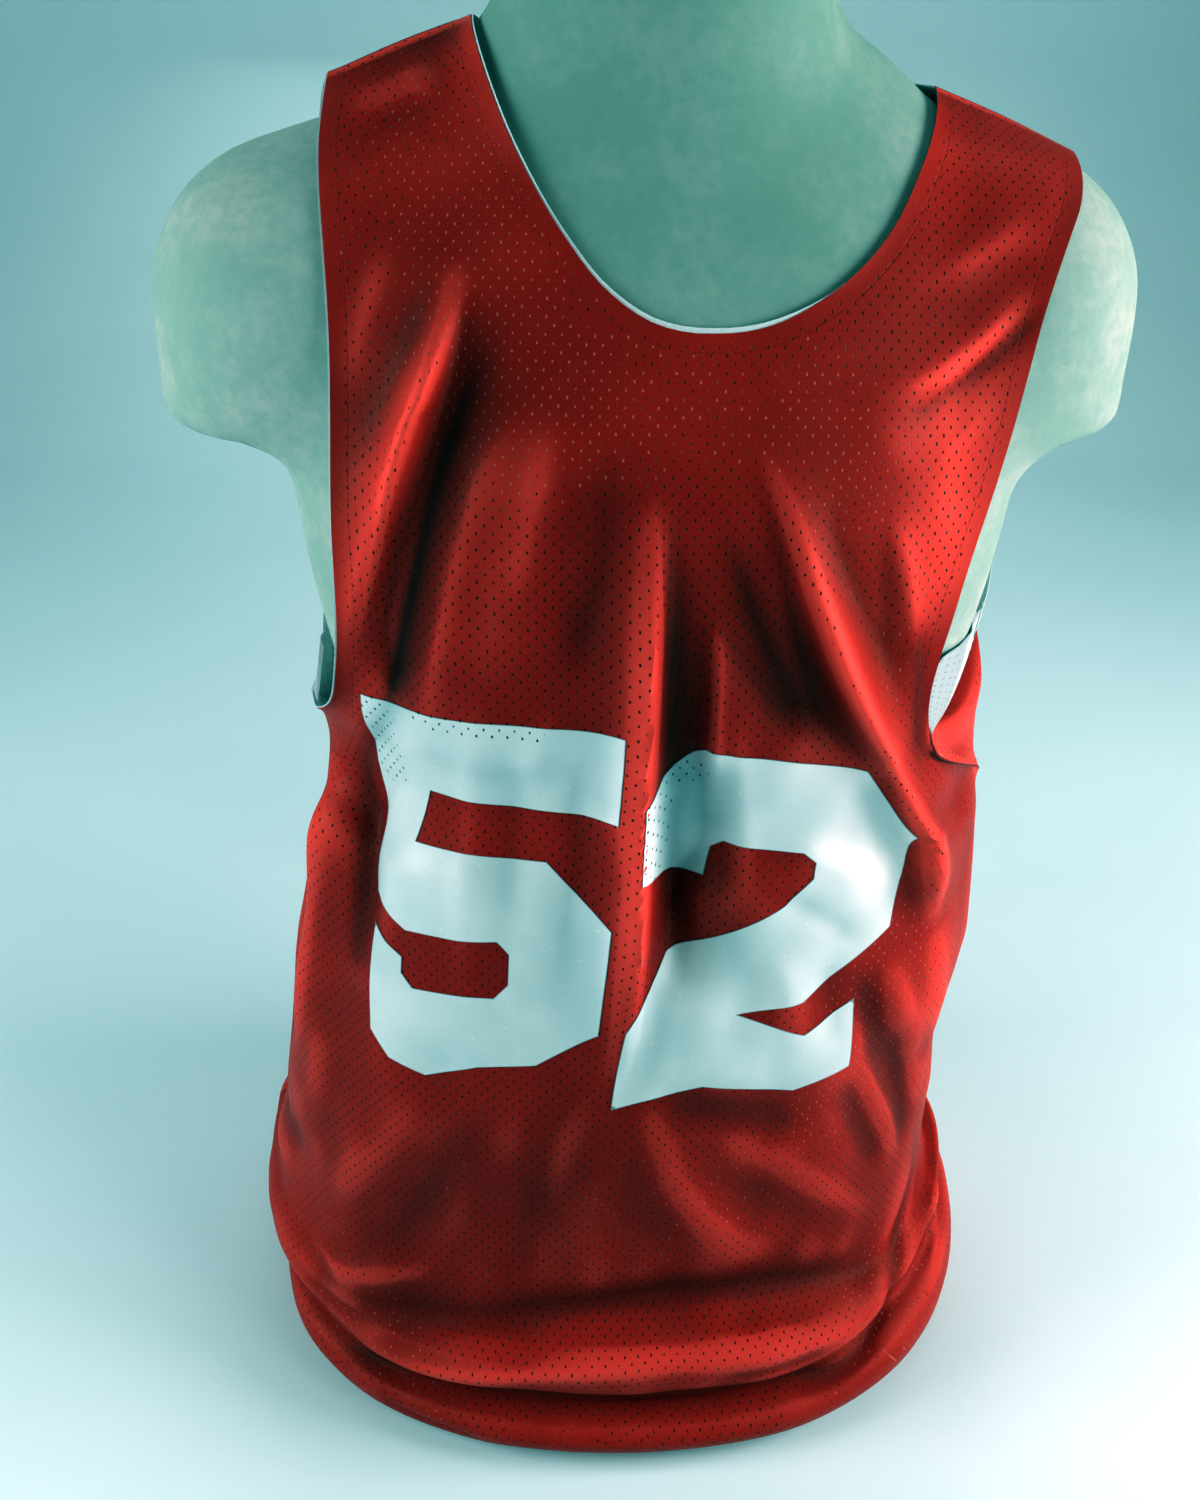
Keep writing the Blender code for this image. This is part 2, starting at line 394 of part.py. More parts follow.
def hang_reach(p):
    """How far out the cloth hangs below the chest, in each point's direction (0 elsewhere)."""
    x, y, z = p[:, 0] - FORM_LEAN, p[:, 1], p[:, 2]
    a, f, b = (smooth_rows(HANG, z, k) for k in (1, 2, 3))
    reach = oval_reach(np.arctan2(x, -y), a, a, f, b, 2.35)
    ease = np.clip((z - HANG[0][0] + 0.5)/7.0, 0, 1)            # the sections take over below
    give = 0.2 + 1.6*np.maximum(np.clip((2 - x)/10, 0, 1), np.clip((y - 3)/6, 0, 1))
    reach = reach - give*(1 - ease*ease*(3 - 2*ease))
    return np.where((z > HANG[0][0] - 0.5) & (z < HANG[-1][0]), reach, 0)


def quads_of(block):
    return np.stack([block[:-1, :-1], block[1:, :-1], block[1:, 1:], block[:-1, 1:]], -1).reshape(-1, 4)


def edges_of(Q):
    E = np.concatenate([Q[:, [0, 1]], Q[:, [1, 2]], Q[:, [2, 3]], Q[:, [3, 0]]])
    return np.unique(np.sort(E, 1), axis=0)


def neighbour_mean(X, E, weight):
    """Each point's mean of its neighbours, each edge pulling with its weight."""
    S, total = np.zeros_like(X), np.zeros(len(X))
    for a, b in ((0, 1), (1, 0)):
        np.add.at(S, E[:, a], weight[:, None]*X[E[:, b]])
        np.add.at(total, E[:, a], weight)
    return S/total[:, None]


def resample(grid, rows, cols):
    """A grid read at fractional rows and columns, cubic along each."""
    def along(G, at):
        n = len(G) - 1
        at = np.clip(at, 0, n)
        i = np.clip(at.astype(int), 0, n - 1)
        t = (at - i)[:, None, None]
        m = np.gradient(G, axis=0, edge_order=2 if n > 1 else 1)
        return ((2*t**3 - 3*t**2 + 1)*G[i] + (t**3 - 2*t**2 + t)*m[i]
                + (-2*t**3 + 3*t**2)*G[i + 1] + (t**3 - t**2)*m[i + 1])
    G = along(np.asarray(grid), np.asarray(rows, float))
    return along(G.transpose(1, 0, 2), np.asarray(cols, float)).transpose(1, 0, 2)


def row_places(body, first, count):
    """Fractional rows of the body grid from row `first` down, closer together where the cloth turns
    and where the seam runs round the body."""
    P = body[first:, len(body[0])//2]
    seg = np.diff(P, axis=0)
    length = np.maximum(np.linalg.norm(seg, axis=1), 0.8*np.linalg.norm(np.diff(body[first:, -1], axis=0), axis=1))
    d = seg/np.maximum(length[:, None], 1e-9)
    bend = np.concatenate([[0], np.arccos(np.clip((d[1:]*d[:-1]).sum(1), -1, 1))])
    cost = np.concatenate([[0], np.cumsum(length/2.6 + bend/math.radians(27))])
    return first + np.interp(np.linspace(0, cost[-1], count + 1), cost, np.arange(len(cost)))


class Cloth:
    """Front and back panels on one set of points, with their seams."""

    def __init__(self, sizes):
        """sizes: side -> (columns, strap rows, chest rows); rows below come from sizes['below']."""
        nM0, nU0, nA0 = BASE["chest"], BASE["strap"], BASE["columns"]
        self.panels, V, F, seam = {}, [], [], []
        count = 0
        grids = {side: base_panel(side) for side in ("front", "back")}
        low_rows = row_places(grids["front"][2][0], nM0, sizes["below"])
        for side in ("front", "back"):
            nA, nU, nM = sizes[side]
            (PL, FL), (PR, FR), (PB, FB) = grids[side]
            strap_rows = np.linspace(0, nU0, nU + 1)
            cols = np.linspace(0, nA0, nA + 1)
            body_rows = np.concatenate([np.linspace(0, nM0, nM + 1), low_rows[1:]])
            body_cols = np.linspace(0, 2*nA0, 2*nA + 1)
            parts = [[resample(A, strap_rows, cols), resample(B, strap_rows, cols)] for A, B in ((PL, FL), (PR, FR))]
            body = [resample(PB, body_rows, body_cols), resample(FB, body_rows, body_cols)]
            ids = []
            def number(P, Q):
                nonlocal count
                shape = P.shape[:2]
                V.extend(P.reshape(-1, 3))
                F.extend(Q.reshape(-1, 2))
                out = count + np.arange(shape[0]*shape[1]).reshape(shape)
                count += shape[0]*shape[1]
                return out
            idB = number(*body)
            top = idB[0]
            idL = np.vstack([number(parts[0][0][:-1], parts[0][1][:-1]), top[None, :nA + 1]])
            idR = np.vstack([number(parts[1][0][:-1], parts[1][1][:-1]), top[None, nA:]])
            self.panels[side] = dict(left=idL, right=idR, body=idB, chest=nM,
                                     quads=np.concatenate([quads_of(b) for b in (idL, idR, idB)]))
        self.V, self.F = np.array(V), np.array(F)
        f, b = self.panels["front"], self.panels["back"]
        # side seams: front's first column with the back's last, front's last with the back's first
        for fc, bc in ((0, -1), (-1, 0)):
            seam.append(np.stack([f["body"][f["chest"]:, fc], b["body"][b["chest"]:, bc]], 1))
        self.seam = np.concatenate(seam)
        self.shoulders = {side: np.concatenate([p["left"][0], p["right"][0]]) for side, p in self.panels.items()}
        self.V[self.seam[:, 1]] = self.V[self.seam[:, 0]]

    def normals(self):
        N = np.zeros_like(self.V)
        for p in self.panels.values():
            q = p["quads"]
            d1 = self.V[q[:, 2]] - self.V[q[:, 0]]
            d2 = self.V[q[:, 3]] - self.V[q[:, 1]]
            n = np.cross(d1, d2)
            for k in range(4):
                np.add.at(N, q[:, k], n)
        one, other = N[self.seam[:, 0]], N[self.seam[:, 1]]        # along a seam, halfway between its two panels
        both = (one/np.maximum(np.linalg.norm(one, axis=1, keepdims=True), 1e-12)
                + other/np.maximum(np.linalg.norm(other, axis=1, keepdims=True), 1e-12))
        N[self.seam[:, 0]] = both
        N[self.seam[:, 1]] = both
        # at the shoulder seams both panels share the direction square to the seam line
        for line in self.shoulders.values():
            for half in np.array_split(line, 2):
                t = self.V[half[-1]] - self.V[half[0]]
                t = t/np.linalg.norm(t)
                up = np.array([0, 0.12, 1.0])
                up = up - (up @ t)*t
                N[half] = up/np.linalg.norm(up)*np.linalg.norm(N[half], axis=1, keepdims=True)
        return N/np.maximum(np.linalg.norm(N, axis=1, keepdims=True), 1e-12)

    def clear_form(self, inner, passes=12):
        """Push points out until the wall's inner face, `inner` below the outer, clears the form."""
        for _ in range(passes):
            N = self.normals()
            push = np.zeros(len(self.V))
            for p in self.panels.values():
                q = p["quads"]
                C = self.V[q] - inner*N[q]
                tests = [C[:, 0], C[:, 1], C[:, 2], C[:, 3], C.mean(1), 0.5*(C[:, 0] + C[:, 1]), 0.5*(C[:, 1] + C[:, 2]),
                         0.5*(C[:, 2] + C[:, 3]), 0.5*(C[:, 3] + C[:, 0])]
                short = np.max([CLEAR - form_gap(t) for t in tests], axis=0)
                short = np.where(self.V[q][:, :, 2].max(1) > 20, short, 0)
                for k in range(4):
                    np.maximum.at(push, q[:, k], short)
            push[self.seam[:, 0]] = push[self.seam[:, 1]] = np.maximum(push[self.seam[:, 0]], push[self.seam[:, 1]])
            for line in self.shoulders.values():
                push[line] = 0
            move = push > 1e-4
            if not move.any():
                break
            self.V[move] += (0.6*push[move])[:, None]*form_normal(self.V[move])
            self.V[self.seam[:, 1]] = self.V[self.seam[:, 0]]

    def fold(self):
        N = self.normals()
        lift = fold_depth(self.V, N)
        room = np.maximum(form_gap(self.V) - REST - 0.02, 0)       # a trough ends where it meets the form
        lift = np.where((lift < 0) & (self.V[:, 2] > 12), -np.minimum(-lift, room), lift)
        self.V += lift[:, None]*N
        self.V[:, 2] = np.maximum(self.V[:, 2], 0)
        self.V[self.seam[:, 1]] = self.V[self.seam[:, 0]]

    def seam_shift(self, gap):
        """Half the seam gap, for each point, towards its own panel."""
        S = np.zeros_like(self.V)
        N = self.normals()
        f, b = self.panels["front"], self.panels["back"]
        for p, first in ((f, True), (b, True)):
            for c, n in ((0, 1), (-1, -2)):
                line, inner = p["body"][p["chest"]:, c], p["body"][p["chest"]:, n]
                d = self.V[inner] - self.V[line]
                along = np.gradient(self.V[line], axis=0)
                along /= np.maximum(np.linalg.norm(along, axis=1, keepdims=True), 1e-9)
                side = np.cross(along, N[line])
                side /= np.maximum(np.linalg.norm(side, axis=1, keepdims=True), 1e-9)
                side *= np.sign((side*d).sum(1))[:, None]
                S[line] = side*gap/2
        for a, c in self.seam:                       # the two panels part in opposite directions
            mean = 0.5*(S[a] - S[c])
            S[a], S[c] = mean, -mean
        for side, way in (("front", -1), ("back", 1)):
            S[self.shoulders[side]] = (0, way*gap/2, 0)
        return S


def fold_depth(V, N):
    """How far the folds lift each point along its normal (cm)."""
    total = np.zeros(len(V))
    for face, depth, width, *path in FOLDS:
        axis = {"front": (0, -1, 0), "back": (0, 1, 0), "left": (-1, 0, 0), "right": (1, 0, 0)}[face]
        facing = np.clip((N @ np.array(axis, float) - 0.1)/0.5, 0, 1)
        facing = facing*facing*(3 - 2*facing)
        on = facing > 0
        if not on.any():
            continue
        across = V[on, 0] if face in ("front", "back") else V[on, 1]
        line = line_through([p + (0.0,) for p in path], 48)[:, :2]
        d2 = (across[:, None] - line[None, :, 0])**2 + (V[on, 2][:, None] - line[None, :, 1])**2
        near = d2.argmin(1)
        t = near/48.0
        ends = np.clip(np.minimum(t, 1 - t)/0.28, 0, 1)
        ends = ends*ends*(3 - 2*ends)
        total[on] += facing[on]*depth*ends*np.exp(-(np.sqrt(d2.min(1))/width)**1.7)
    return total


# ------------------------------------------------------------------- making

def material(name, colour, roughness, metallic=0.0):
    m = bpy.data.materials.new(name)
    m.use_nodes = True
    shader = m.node_tree.nodes["Principled BSDF"]
    shader.inputs["Base Color"].default_value = (*colour, 1)
    shader.inputs["Roughness"].default_value = roughness
    shader.inputs["Metallic"].default_value = metallic
    m.diffuse_color = (*colour, 1)
    return m


def place(points):
    """Centimetres in the tables' frame to metres about the footprint's middle."""
    return (np.asarray(points, float) - (CENTRE[0], CENTRE[1], 0))*CM


def add_object(name, mesh, mat, collection):
    mesh.materials.append(mat)
    mesh.shade_smooth()
    mesh.set_sharp_from_angle(angle=math.radians(50))
    obj = bpy.data.objects.new(name, mesh)
    collection.objects.link(obj)
    return obj


def triangles(quads, points):
    """Each quad split along its shorter diagonal."""
    q = points[quads]
    first = (np.linalg.norm(q[:, 0] - q[:, 2], axis=1) <= np.linalg.norm(q[:, 1] - q[:, 3], axis=1))[:, None]
    return np.concatenate([np.where(first, quads[:, [0, 1, 2]], quads[:, [0, 1, 3]]),
                           np.where(first, quads[:, [0, 2, 3]], quads[:, [1, 2, 3]])])


def wall(name, outer, inner, tri, mat, collection):
    """A closed wall: an outer sheet, an inner sheet on the same points, and a rim round its edges."""
    used = np.unique(tri)
    number = {v: i for i, v in enumerate(used)}
    n = len(used)
    faces = [tuple(number[v] for v in t) for t in tri]
    directed = {(t[k], t[(k + 1) % 3]) for t in faces for k in range(3)}
    rim = [(a, b) for a, b in sorted(directed) if (b, a) not in directed]
    faces += [tuple(v + n for v in reversed(t)) for t in faces]
    for a, b in rim:
        faces += [(b, a, a + n), (b, a + n, b + n)]
    mesh = bpy.data.meshes.new(name)
    mesh.from_pydata(np.concatenate([place(outer[used]), place(inner[used])]).tolist(), [], faces)
    mesh.update()
    return add_object(name, mesh, mat, collection)


def form_ring(z, inset=0.0):
    """The form's outline at height z: the surface met by rays from its axis."""
    th = np.arange(FORM_SIDES)*2*math.pi/FORM_SIDES
    axis = np.array([FORM_LEAN, 0.4, z])
    ray = np.stack([np.sin(th), -np.cos(th), 0*th], 1)
    inside, outside = np.zeros(FORM_SIDES), np.full(FORM_SIDES, 40.0)
    for _ in range(40):
        half = 0.5*(inside + outside)
        gap = form_gap(axis + half[:, None]*ray)
        inside, outside = np.where(gap < 0, half, inside), np.where(gap < 0, outside, half)
    return axis + (inside - inset)[:, None]*ray


def torso_form(mat, collection):
    """Rings from the flat foot to the flat top of the neck, closer together under the shoulder stubs."""
    levels = [0.5, 4, 9, 14, 19, 24, 29, 34, 39, 44, 48.5, 52, 54.8, 56.6, 57.6, 58.2, 58.8, 59.6, 60.6, 62, 64, 66.5, 69,
              71, 72.3, 73.5, 74.7, 75.8, 76.8, 77.8, 79, 81, 84, NECK_TOP - 0.4]
    rings = [form_ring(0.0, 0.5) * (1, 1, 0)] + [form_ring(z) for z in levels]
    top = form_ring(NECK_TOP - 0.4, 0.4)
    top[:, 2] = NECK_TOP
    rings.append(top)
    bm = bmesh.new()
    grid = [[bm.verts.new(p) for p in place(r)] for r in rings]
    n = FORM_SIDES
    for low, high in zip(grid, grid[1:]):
        for k in range(n):
            bm.faces.new((low[k], low[(k + 1) % n], high[(k + 1) % n], high[k]))
    bm.faces.new(list(reversed(grid[0])))
    bm.faces.new(grid[-1])
    bmesh.ops.triangulate(bm, faces=[f for f in bm.faces if len(f.verts) == 4])
    mesh = bpy.data.meshes.new("form")
    bm.to_mesh(mesh)
    bm.free()
    return add_object("form", mesh, mat, collection)


def numeral(name, corners, cloth, mat, collection, cutters):
    """A numeral cut from the front panel's own facets on the flat, then laid on the panel as worn."""
    panel = cloth.panels["front"]
    tri = triangles(quads_of(panel["body"]), cloth.V)
    F = cloth.F
    lo, hi = np.min(corners, 0) - 1, np.max(corners, 0) + 1
    box_lo, box_hi = F[tri].min(1), F[tri].max(1)
    tri = tri[((box_hi > lo) & (box_lo < hi)).all(1)]
    used = np.unique(tri)
    number = {v: i for i, v in enumerate(used)}
    # the cut's facets as a slab, 2 thick, in a plan of one unit a centimetre
    slab = bpy.data.meshes.new(name + "_plan")
    slab.from_pydata([(x, -y, 0.0) for x, y in F[used]], [], [tuple(number[v] for v in t) for t in tri])
    piece = bpy.data.objects.new(name + "_plan", slab)
    cutters.objects.link(piece)
    thick = piece.modifiers.new("thickness", "SOLIDIFY")
    thick.thickness, thick.offset = 2.0, 0.0
    # the numeral's outline as a prism
    curve = bpy.data.curves.new(name + "_outline", "CURVE")
    curve.dimensions, curve.fill_mode, curve.extrude = "2D", "BOTH", 3.0
    line = curve.splines.new("POLY")
    line.points.add(len(corners) - 1)
    for point, (x, y) in zip(line.points, corners):
        point.co = (x, -y, 0, 1)
    line.use_cyclic_u = True
    outline = bpy.data.objects.new(name + "_outline", curve)
    cutters.objects.link(outline)
    bpy.context.view_layer.update()
    solid = bpy.data.meshes.new_from_object(outline.evaluated_get(bpy.context.evaluated_depsgraph_get()))
    bm = bmesh.new()
    bm.from_mesh(solid)
    bmesh.ops.remove_doubles(bm, verts=bm.verts, dist=0.0001)
    bmesh.ops.recalc_face_normals(bm, faces=bm.faces)
    bm.to_mesh(solid)
    bm.free()
    bpy.data.objects.remove(outline)
    prism = bpy.data.objects.new(name + "_prism", solid)
    cutters.objects.link(prism)
    prism.hide_render, prism.display_type = True, "WIRE"
    cut = piece.modifiers.new("numeral", "BOOLEAN")
    cut.operation, cut.solver, cut.object = "INTERSECT", "EXACT", prism
    bpy.context.view_layer.update()
    made = bpy.data.meshes.new_from_object(piece.evaluated_get(bpy.context.evaluated_depsgraph_get()))
    # each point of the plan goes to its place on the facet it lies on, lifted off the panel
    N, shift = cloth.N, cloth.shift
    A, B, C = (F[tri[:, k]] for k in range(3))
    det = (B[:, 0] - A[:, 0])*(C[:, 1] - A[:, 1]) - (B[:, 1] - A[:, 1])*(C[:, 0] - A[:, 0])
    bm = bmesh.new()
    bm.from_mesh(made)
    bmesh.ops.remove_doubles(bm, verts=bm.verts, dist=0.0005)
    for v in bm.verts:
        x, y = v.co.x, -v.co.y
        b = ((x - A[:, 0])*(C[:, 1] - A[:, 1]) - (y - A[:, 1])*(C[:, 0] - A[:, 0]))/det
        c = ((B[:, 0] - A[:, 0])*(y - A[:, 1]) - (B[:, 1] - A[:, 1])*(x - A[:, 0]))/det
        k = np.argmax(np.minimum(np.minimum(b, c), 1 - b - c))
        w = np.array([1 - b[k] - c[k], b[k], c[k]])
        spot, out = w @ (cloth.V + shift)[tri[k]], w @ N[tri[k]]
        out = out/np.linalg.norm(out)
        v.co = place(spot + out*(GAP + (NUMBER_WALL if v.co.z > 0 else 0.0)))
    bmesh.ops.dissolve_degenerate(bm, edges=bm.edges, dist=0.00002)
    bmesh.ops.triangulate(bm, faces=bm.faces)
    bmesh.ops.recalc_face_normals(bm, faces=bm.faces)
    mesh = bpy.data.meshes.new(name)
    bm.to_mesh(mesh)
    bm.free()
    return add_object(name, mesh, mat, collection)


def main():
    for old in list(bpy.data.objects):
        bpy.data.objects.remove(old)
    parts = bpy.data.collections.new("basketball_jersey_on_form")
    cutters = bpy.data.collections.new("cutters")
    bpy.context.scene.collection.children.link(parts)
    bpy.context.scene.collection.children.link(cutters)
    red = material("red_mesh", (0.42, 0.015, 0.02), 0.5)
    red_back = material("red_mesh_back", (0.42, 0.015, 0.02), 0.5)
    white = material("white_mesh", (0.75, 0.78, 0.78), 0.6)
    white_back = material("white_mesh_back", (0.75, 0.78, 0.78), 0.6)
    print_5 = material("print_5", (0.72, 0.80, 0.80), 0.45)
    print_2 = material("print_2", (0.72, 0.80, 0.80), 0.45)
    shell = material("form_shell", (0.62, 0.70, 0.69), 0.4)

    cloth = Cloth(GRID)
    cloth.fold()
    cloth.clear_form(LINING_INNER)
    cloth.N, cloth.shift = cloth.normals(), cloth.seam_shift(GAP)
    edge, N = cloth.V + cloth.shift, cloth.N
    for side, outer_mat, inner_mat in (("front", red, white), ("back", red_back, white_back)):
        p = cloth.panels[side]
        wall(side + "_outer", edge, edge - OUTER_WALL*N, triangles(p["quads"], cloth.V), outer_mat, parts)
        rows = p["body"][:p["chest"] + 1 + LINING_ROWS_BELOW]
        top = np.concatenate([quads_of(p["left"]), quads_of(p["right"]), quads_of(rows)])
        wall(side + "_lining", edge - (OUTER_WALL + GAP)*N, edge - LINING_INNER*N, triangles(top, cloth.V), inner_mat, parts)
    numeral("number_5", NUMBERS["number_5"], cloth, print_5, parts, cutters)
    numeral("number_2", NUMBERS["number_2"], cloth, print_2, parts, cutters)
    torso_form(shell, parts)
    for guide in list(cutters.objects):
        bpy.data.objects.remove(guide)


main()
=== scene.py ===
"""Looks of a basketball jersey on a limbless torso form.

The cloth is built again from the same tables of edges, sections and rolls as the solids, on a finer grid,
with all its folds, thin walls, a proud white edge, pressed numerals and the holes of the knit.
Tables are in centimetres, +Z up, -Y to the front; "left" and "right" are as seen from the front.
"""

import math

import bmesh
import bpy
import numpy as np
from mathutils import Matrix, Vector
from mathutils.geometry import delaunay_2d_cdt


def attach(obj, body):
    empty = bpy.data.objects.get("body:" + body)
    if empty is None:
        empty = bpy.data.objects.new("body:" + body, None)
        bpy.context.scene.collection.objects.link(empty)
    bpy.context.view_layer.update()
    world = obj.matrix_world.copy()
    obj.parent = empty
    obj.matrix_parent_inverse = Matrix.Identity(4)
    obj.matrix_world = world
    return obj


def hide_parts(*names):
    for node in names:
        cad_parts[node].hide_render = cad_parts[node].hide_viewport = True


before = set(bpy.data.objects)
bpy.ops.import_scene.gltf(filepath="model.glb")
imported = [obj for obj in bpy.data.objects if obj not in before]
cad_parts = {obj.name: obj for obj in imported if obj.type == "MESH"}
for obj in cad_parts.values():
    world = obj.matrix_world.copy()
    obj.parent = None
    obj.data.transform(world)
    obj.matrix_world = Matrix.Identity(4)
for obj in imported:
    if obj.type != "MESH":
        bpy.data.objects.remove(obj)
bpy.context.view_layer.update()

CM = 0.01
CENTRE = (0.0, -1.46)       # middle of the whole object's footprint (cm), moved to the origin
CLEAR = 0.11              # least distance from cloth to form
OUTER_WALL = 0.06         # the red layer
LINING_DROP = 0.075       # from the red layer's face to the white layer's
LINING_WALL = 0.05
NUMBER_LIFT = (0.012, 0.050)

# ----------------------------------------------------------------- the form
# level z, half width, depth in front, depth behind, squareness (cm)
FORM_LEVELS = [
    (0.0, 17.0, 11.8, 12.2, 2.30),
    (8.0, 17.3, 12.0, 12.4, 2.35),
    (18.0, 16.6, 11.4, 11.6, 2.40),
    (27.0, 15.8, 10.8, 10.4, 2.40),
    (36.0, 16.3, 11.8, 10.9, 2.40),
    (45.0, 17.7, 12.7, 11.8, 2.40),
    (52.0, 19.0, 13.0, 12.4, 2.40),
    (58.0, 19.4, 12.4, 12.6, 2.40),
    (63.0, 18.4, 11.0, 12.2, 2.35),
    (68.0, 15.6, 9.0, 11.0, 2.20),
    (72.0, 12.2, 7.4, 9.2, 2.10),
    (76.0, 8.0, 6.2, 7.2, 2.00),
    (80.0, 6.4, 5.6, 6.4, 2.00),
]
FORM_LEAN = 0.4          # the trunk's centre, to the wearer's left
NECK_TOP = 88.0

def smooth_rows(rows, at, column):
    """A column of a table, read at any place by a cubic through its rows."""
    r = np.array(rows, float)
    x, y = r[:, 0], r[:, column]
    m = np.gradient(y, x)
    at = np.clip(at, x[0], x[-1])
    i = np.clip(np.searchsorted(x, at) - 1, 0, len(x) - 2)
    h = x[i + 1] - x[i]
    t = (at - x[i]) / h
    return ((2*t**3 - 3*t**2 + 1)*y[i] + (t**3 - 2*t**2 + t)*h*m[i]
            + (-2*t**3 + 3*t**2)*y[i + 1] + (t**3 - t**2)*h*m[i + 1])

def soft_min(a, b, k):
    h = np.clip(0.5 + 0.5*(b - a)/k, 0, 1)
    return b*(1 - h) + a*h - k*h*(1 - h)

def soft_max(a, b, k):
    return -soft_min(-a, -b, k)

def oval_reach(theta, left, right, front, back, square):
    """Distance from the axis to a squared oval in the direction theta (0 front, + to the right)."""
    s, c = np.sin(theta), np.cos(theta)
    a = np.where(s < 0, left, right)
    b = np.where(c > 0, front, back)
    return ((np.abs(s)/a)**square + (np.abs(c)/b)**square)**(-1/square)

def rod(p, start, end, r0, r1):
    a, b = np.array(start, float), np.array(end, float)
    pa, ba = p - a, b - a
    h = np.clip((pa @ ba)/(ba @ ba), 0, 1)
    return np.linalg.norm(pa - h[..., None]*ba, axis=-1) - (r0 + (r1 - r0)*h)

def form_gap(p):
    """Distance (cm) from points to the form's surface, negative inside."""
    p = np.asarray(p, float)
    x, y, z = p[..., 0] - FORM_LEAN, p[..., 1], p[..., 2]
    a = smooth_rows(FORM_LEVELS, z, 1)
    b = np.where(y < 0, smooth_rows(FORM_LEVELS, z, 2), smooth_rows(FORM_LEVELS, z, 3))
    n = smooth_rows(FORM_LEVELS, z, 4)
    rho = ((np.abs(x)/a)**n + (np.abs(y)/b)**n)**(1/n)
    trunk = np.sqrt(x*x + y*y + 1e-9)*(1 - 1/np.maximum(rho, 1e-6))
    q = p.copy()
    q[..., 0] = np.abs(q[..., 0])
    shoulder = rod(q, (8.0, 0.8, 65.3), (17.6, 0.6, 64.9), 8.0, 7.4)
    stub = rod(q, (17.8, 0.6, 64.6), (19.2, 0.3, 58.5), 7.0, 6.6)
    arm = soft_min(shoulder, stub, 2.5)
    arm = soft_max(arm, 58.6 - q[..., 2], 2.0)
    d = soft_min(trunk, arm, 3.6)
    slope = rod(q, (0, 1.6, 76.6), (13, 1.2, 69.2), 5.6, 4.1)
    d = soft_min(d, slope, 4.0)
    neck = rod(p, (0, 1.6, 74), (0.9, -0.6, 94), 5.9, 5.7)
    return soft_min(d, neck, 4.5)

def form_normal(p, e=0.05):
    g = np.zeros_like(p)
    for i in range(3):
        dp = np.zeros(3); dp[i] = e
        g[..., i] = form_gap(p + dp) - form_gap(p - dp)
    return g/np.maximum(np.linalg.norm(g, axis=-1, keepdims=True), 1e-9)

# ------------------------------------------------------------ the jersey's cut
REST = 0.40      # outer face of the cloth above the form where it lies on it

# Where the cloth hangs clear of the form: level, half width, depth in front, depth behind
HANG = [(40.4, 19.4, 14.3, 13.9), (44.0, 19.3, 14.1, 13.6), (48.0, 19.3, 13.9, 13.3), (52.5, 19.4, 13.6, 13.0), (57.0, 19.6, 13.0, 12.9)]

# Edges as worn, from the shoulder down: x, y, z (cm)
NECK_FRONT_LEFT = [(-9.1,0.8,78.05),(-8.9,-2.2,77.2),(-8.2,-4.4,75.4),(-7.0,-6.5,72.9),(-5.2,-8.1,70.1),(-3.3,-9.3,67.8),(-0.7,-10.1,66.15),(2.0,-10.2,65.75)]
NECK_FRONT_RIGHT = [(13.9,0.8,75.2),(13.2,-2.6,74.0),(12.0,-5.1,72.0),(10.5,-7.0,69.8),(8.7,-8.3,68.1),(6.6,-9.3,66.8),(4.4,-10.0,66.0),(2.0,-10.2,65.75)]
NECK_BACK_LEFT = [(-9.1,0.8,78.05),(-8.7,3.6,77.5),(-7.2,6.3,76.3),(-4.2,8.4,75.2),(-1.2,9.3,74.6),(2.0,9.6,74.3)]
NECK_BACK_RIGHT = [(13.9,0.8,75.2),(13.0,3.8,75.0),(11.2,6.2,74.8),(8.2,8.2,74.5),(5.2,9.2,74.3),(2.0,9.6,74.3)]
ARM_FRONT_LEFT = [(-16.1,0.9,75.4),(-16.2,-1.6,74.2),(-16.3,-3.3,72.8),(-16.2,-5.3,70.8),(-16.0,-6.9,68.2),(-15.9,-8.0,65.2),(-16.0,-8.7,61.8),(-16.2,-9.3,57.6),(-16.3,-9.9,53.4),(-16.4,-9.8,49.6),(-16.8,-8.6,46.4),(-17.7,-6.4,44.3),(-18.5,-4.0,43.0),(-19.0,-1.2,42.5)]
ARM_BACK_LEFT = [(-16.1,0.9,75.4),(-16.7,3.6,74.0),(-17.2,6.4,71.0),(-17.3,8.9,67.0),(-17.4,10.3,62.5),(-17.8,10.6,57.5),(-18.3,10.0,52.5),(-18.6,8.2,48.2),(-18.7,5.4,45.0),(-18.7,2.4,43.2),(-19.0,-1.2,42.5)]
ARM_FRONT_RIGHT = [(21.3,0.6,72.3),(20.9,-2.0,71.9),(20.3,-4.6,70.9),(19.2,-6.6,68.9),(18.4,-7.6,66.6),(17.9,-8.0,63.6),(17.4,-8.4,60.6),(16.6,-9.2,57.4),(15.7,-10.1,54.4),(15.0,-10.8,51.5),(14.5,-11.1,49.0),(14.3,-11.2,46.6),(14.7,-10.8,44.8)]
ARM_BACK_RIGHT = [(21.3,0.6,72.3),(21.7,3.2,71.2),(21.5,6.0,68.6),(20.9,8.2,64.6),(20.8,8.6,60.0),(21.1,7.4,55.6),(21.2,4.6,52.0),(20.7,1.2,49.1),(19.4,-2.0,46.6),(17.9,-5.0,45.3),(16.3,-8.0,44.7),(14.7,-10.8,44.8)]
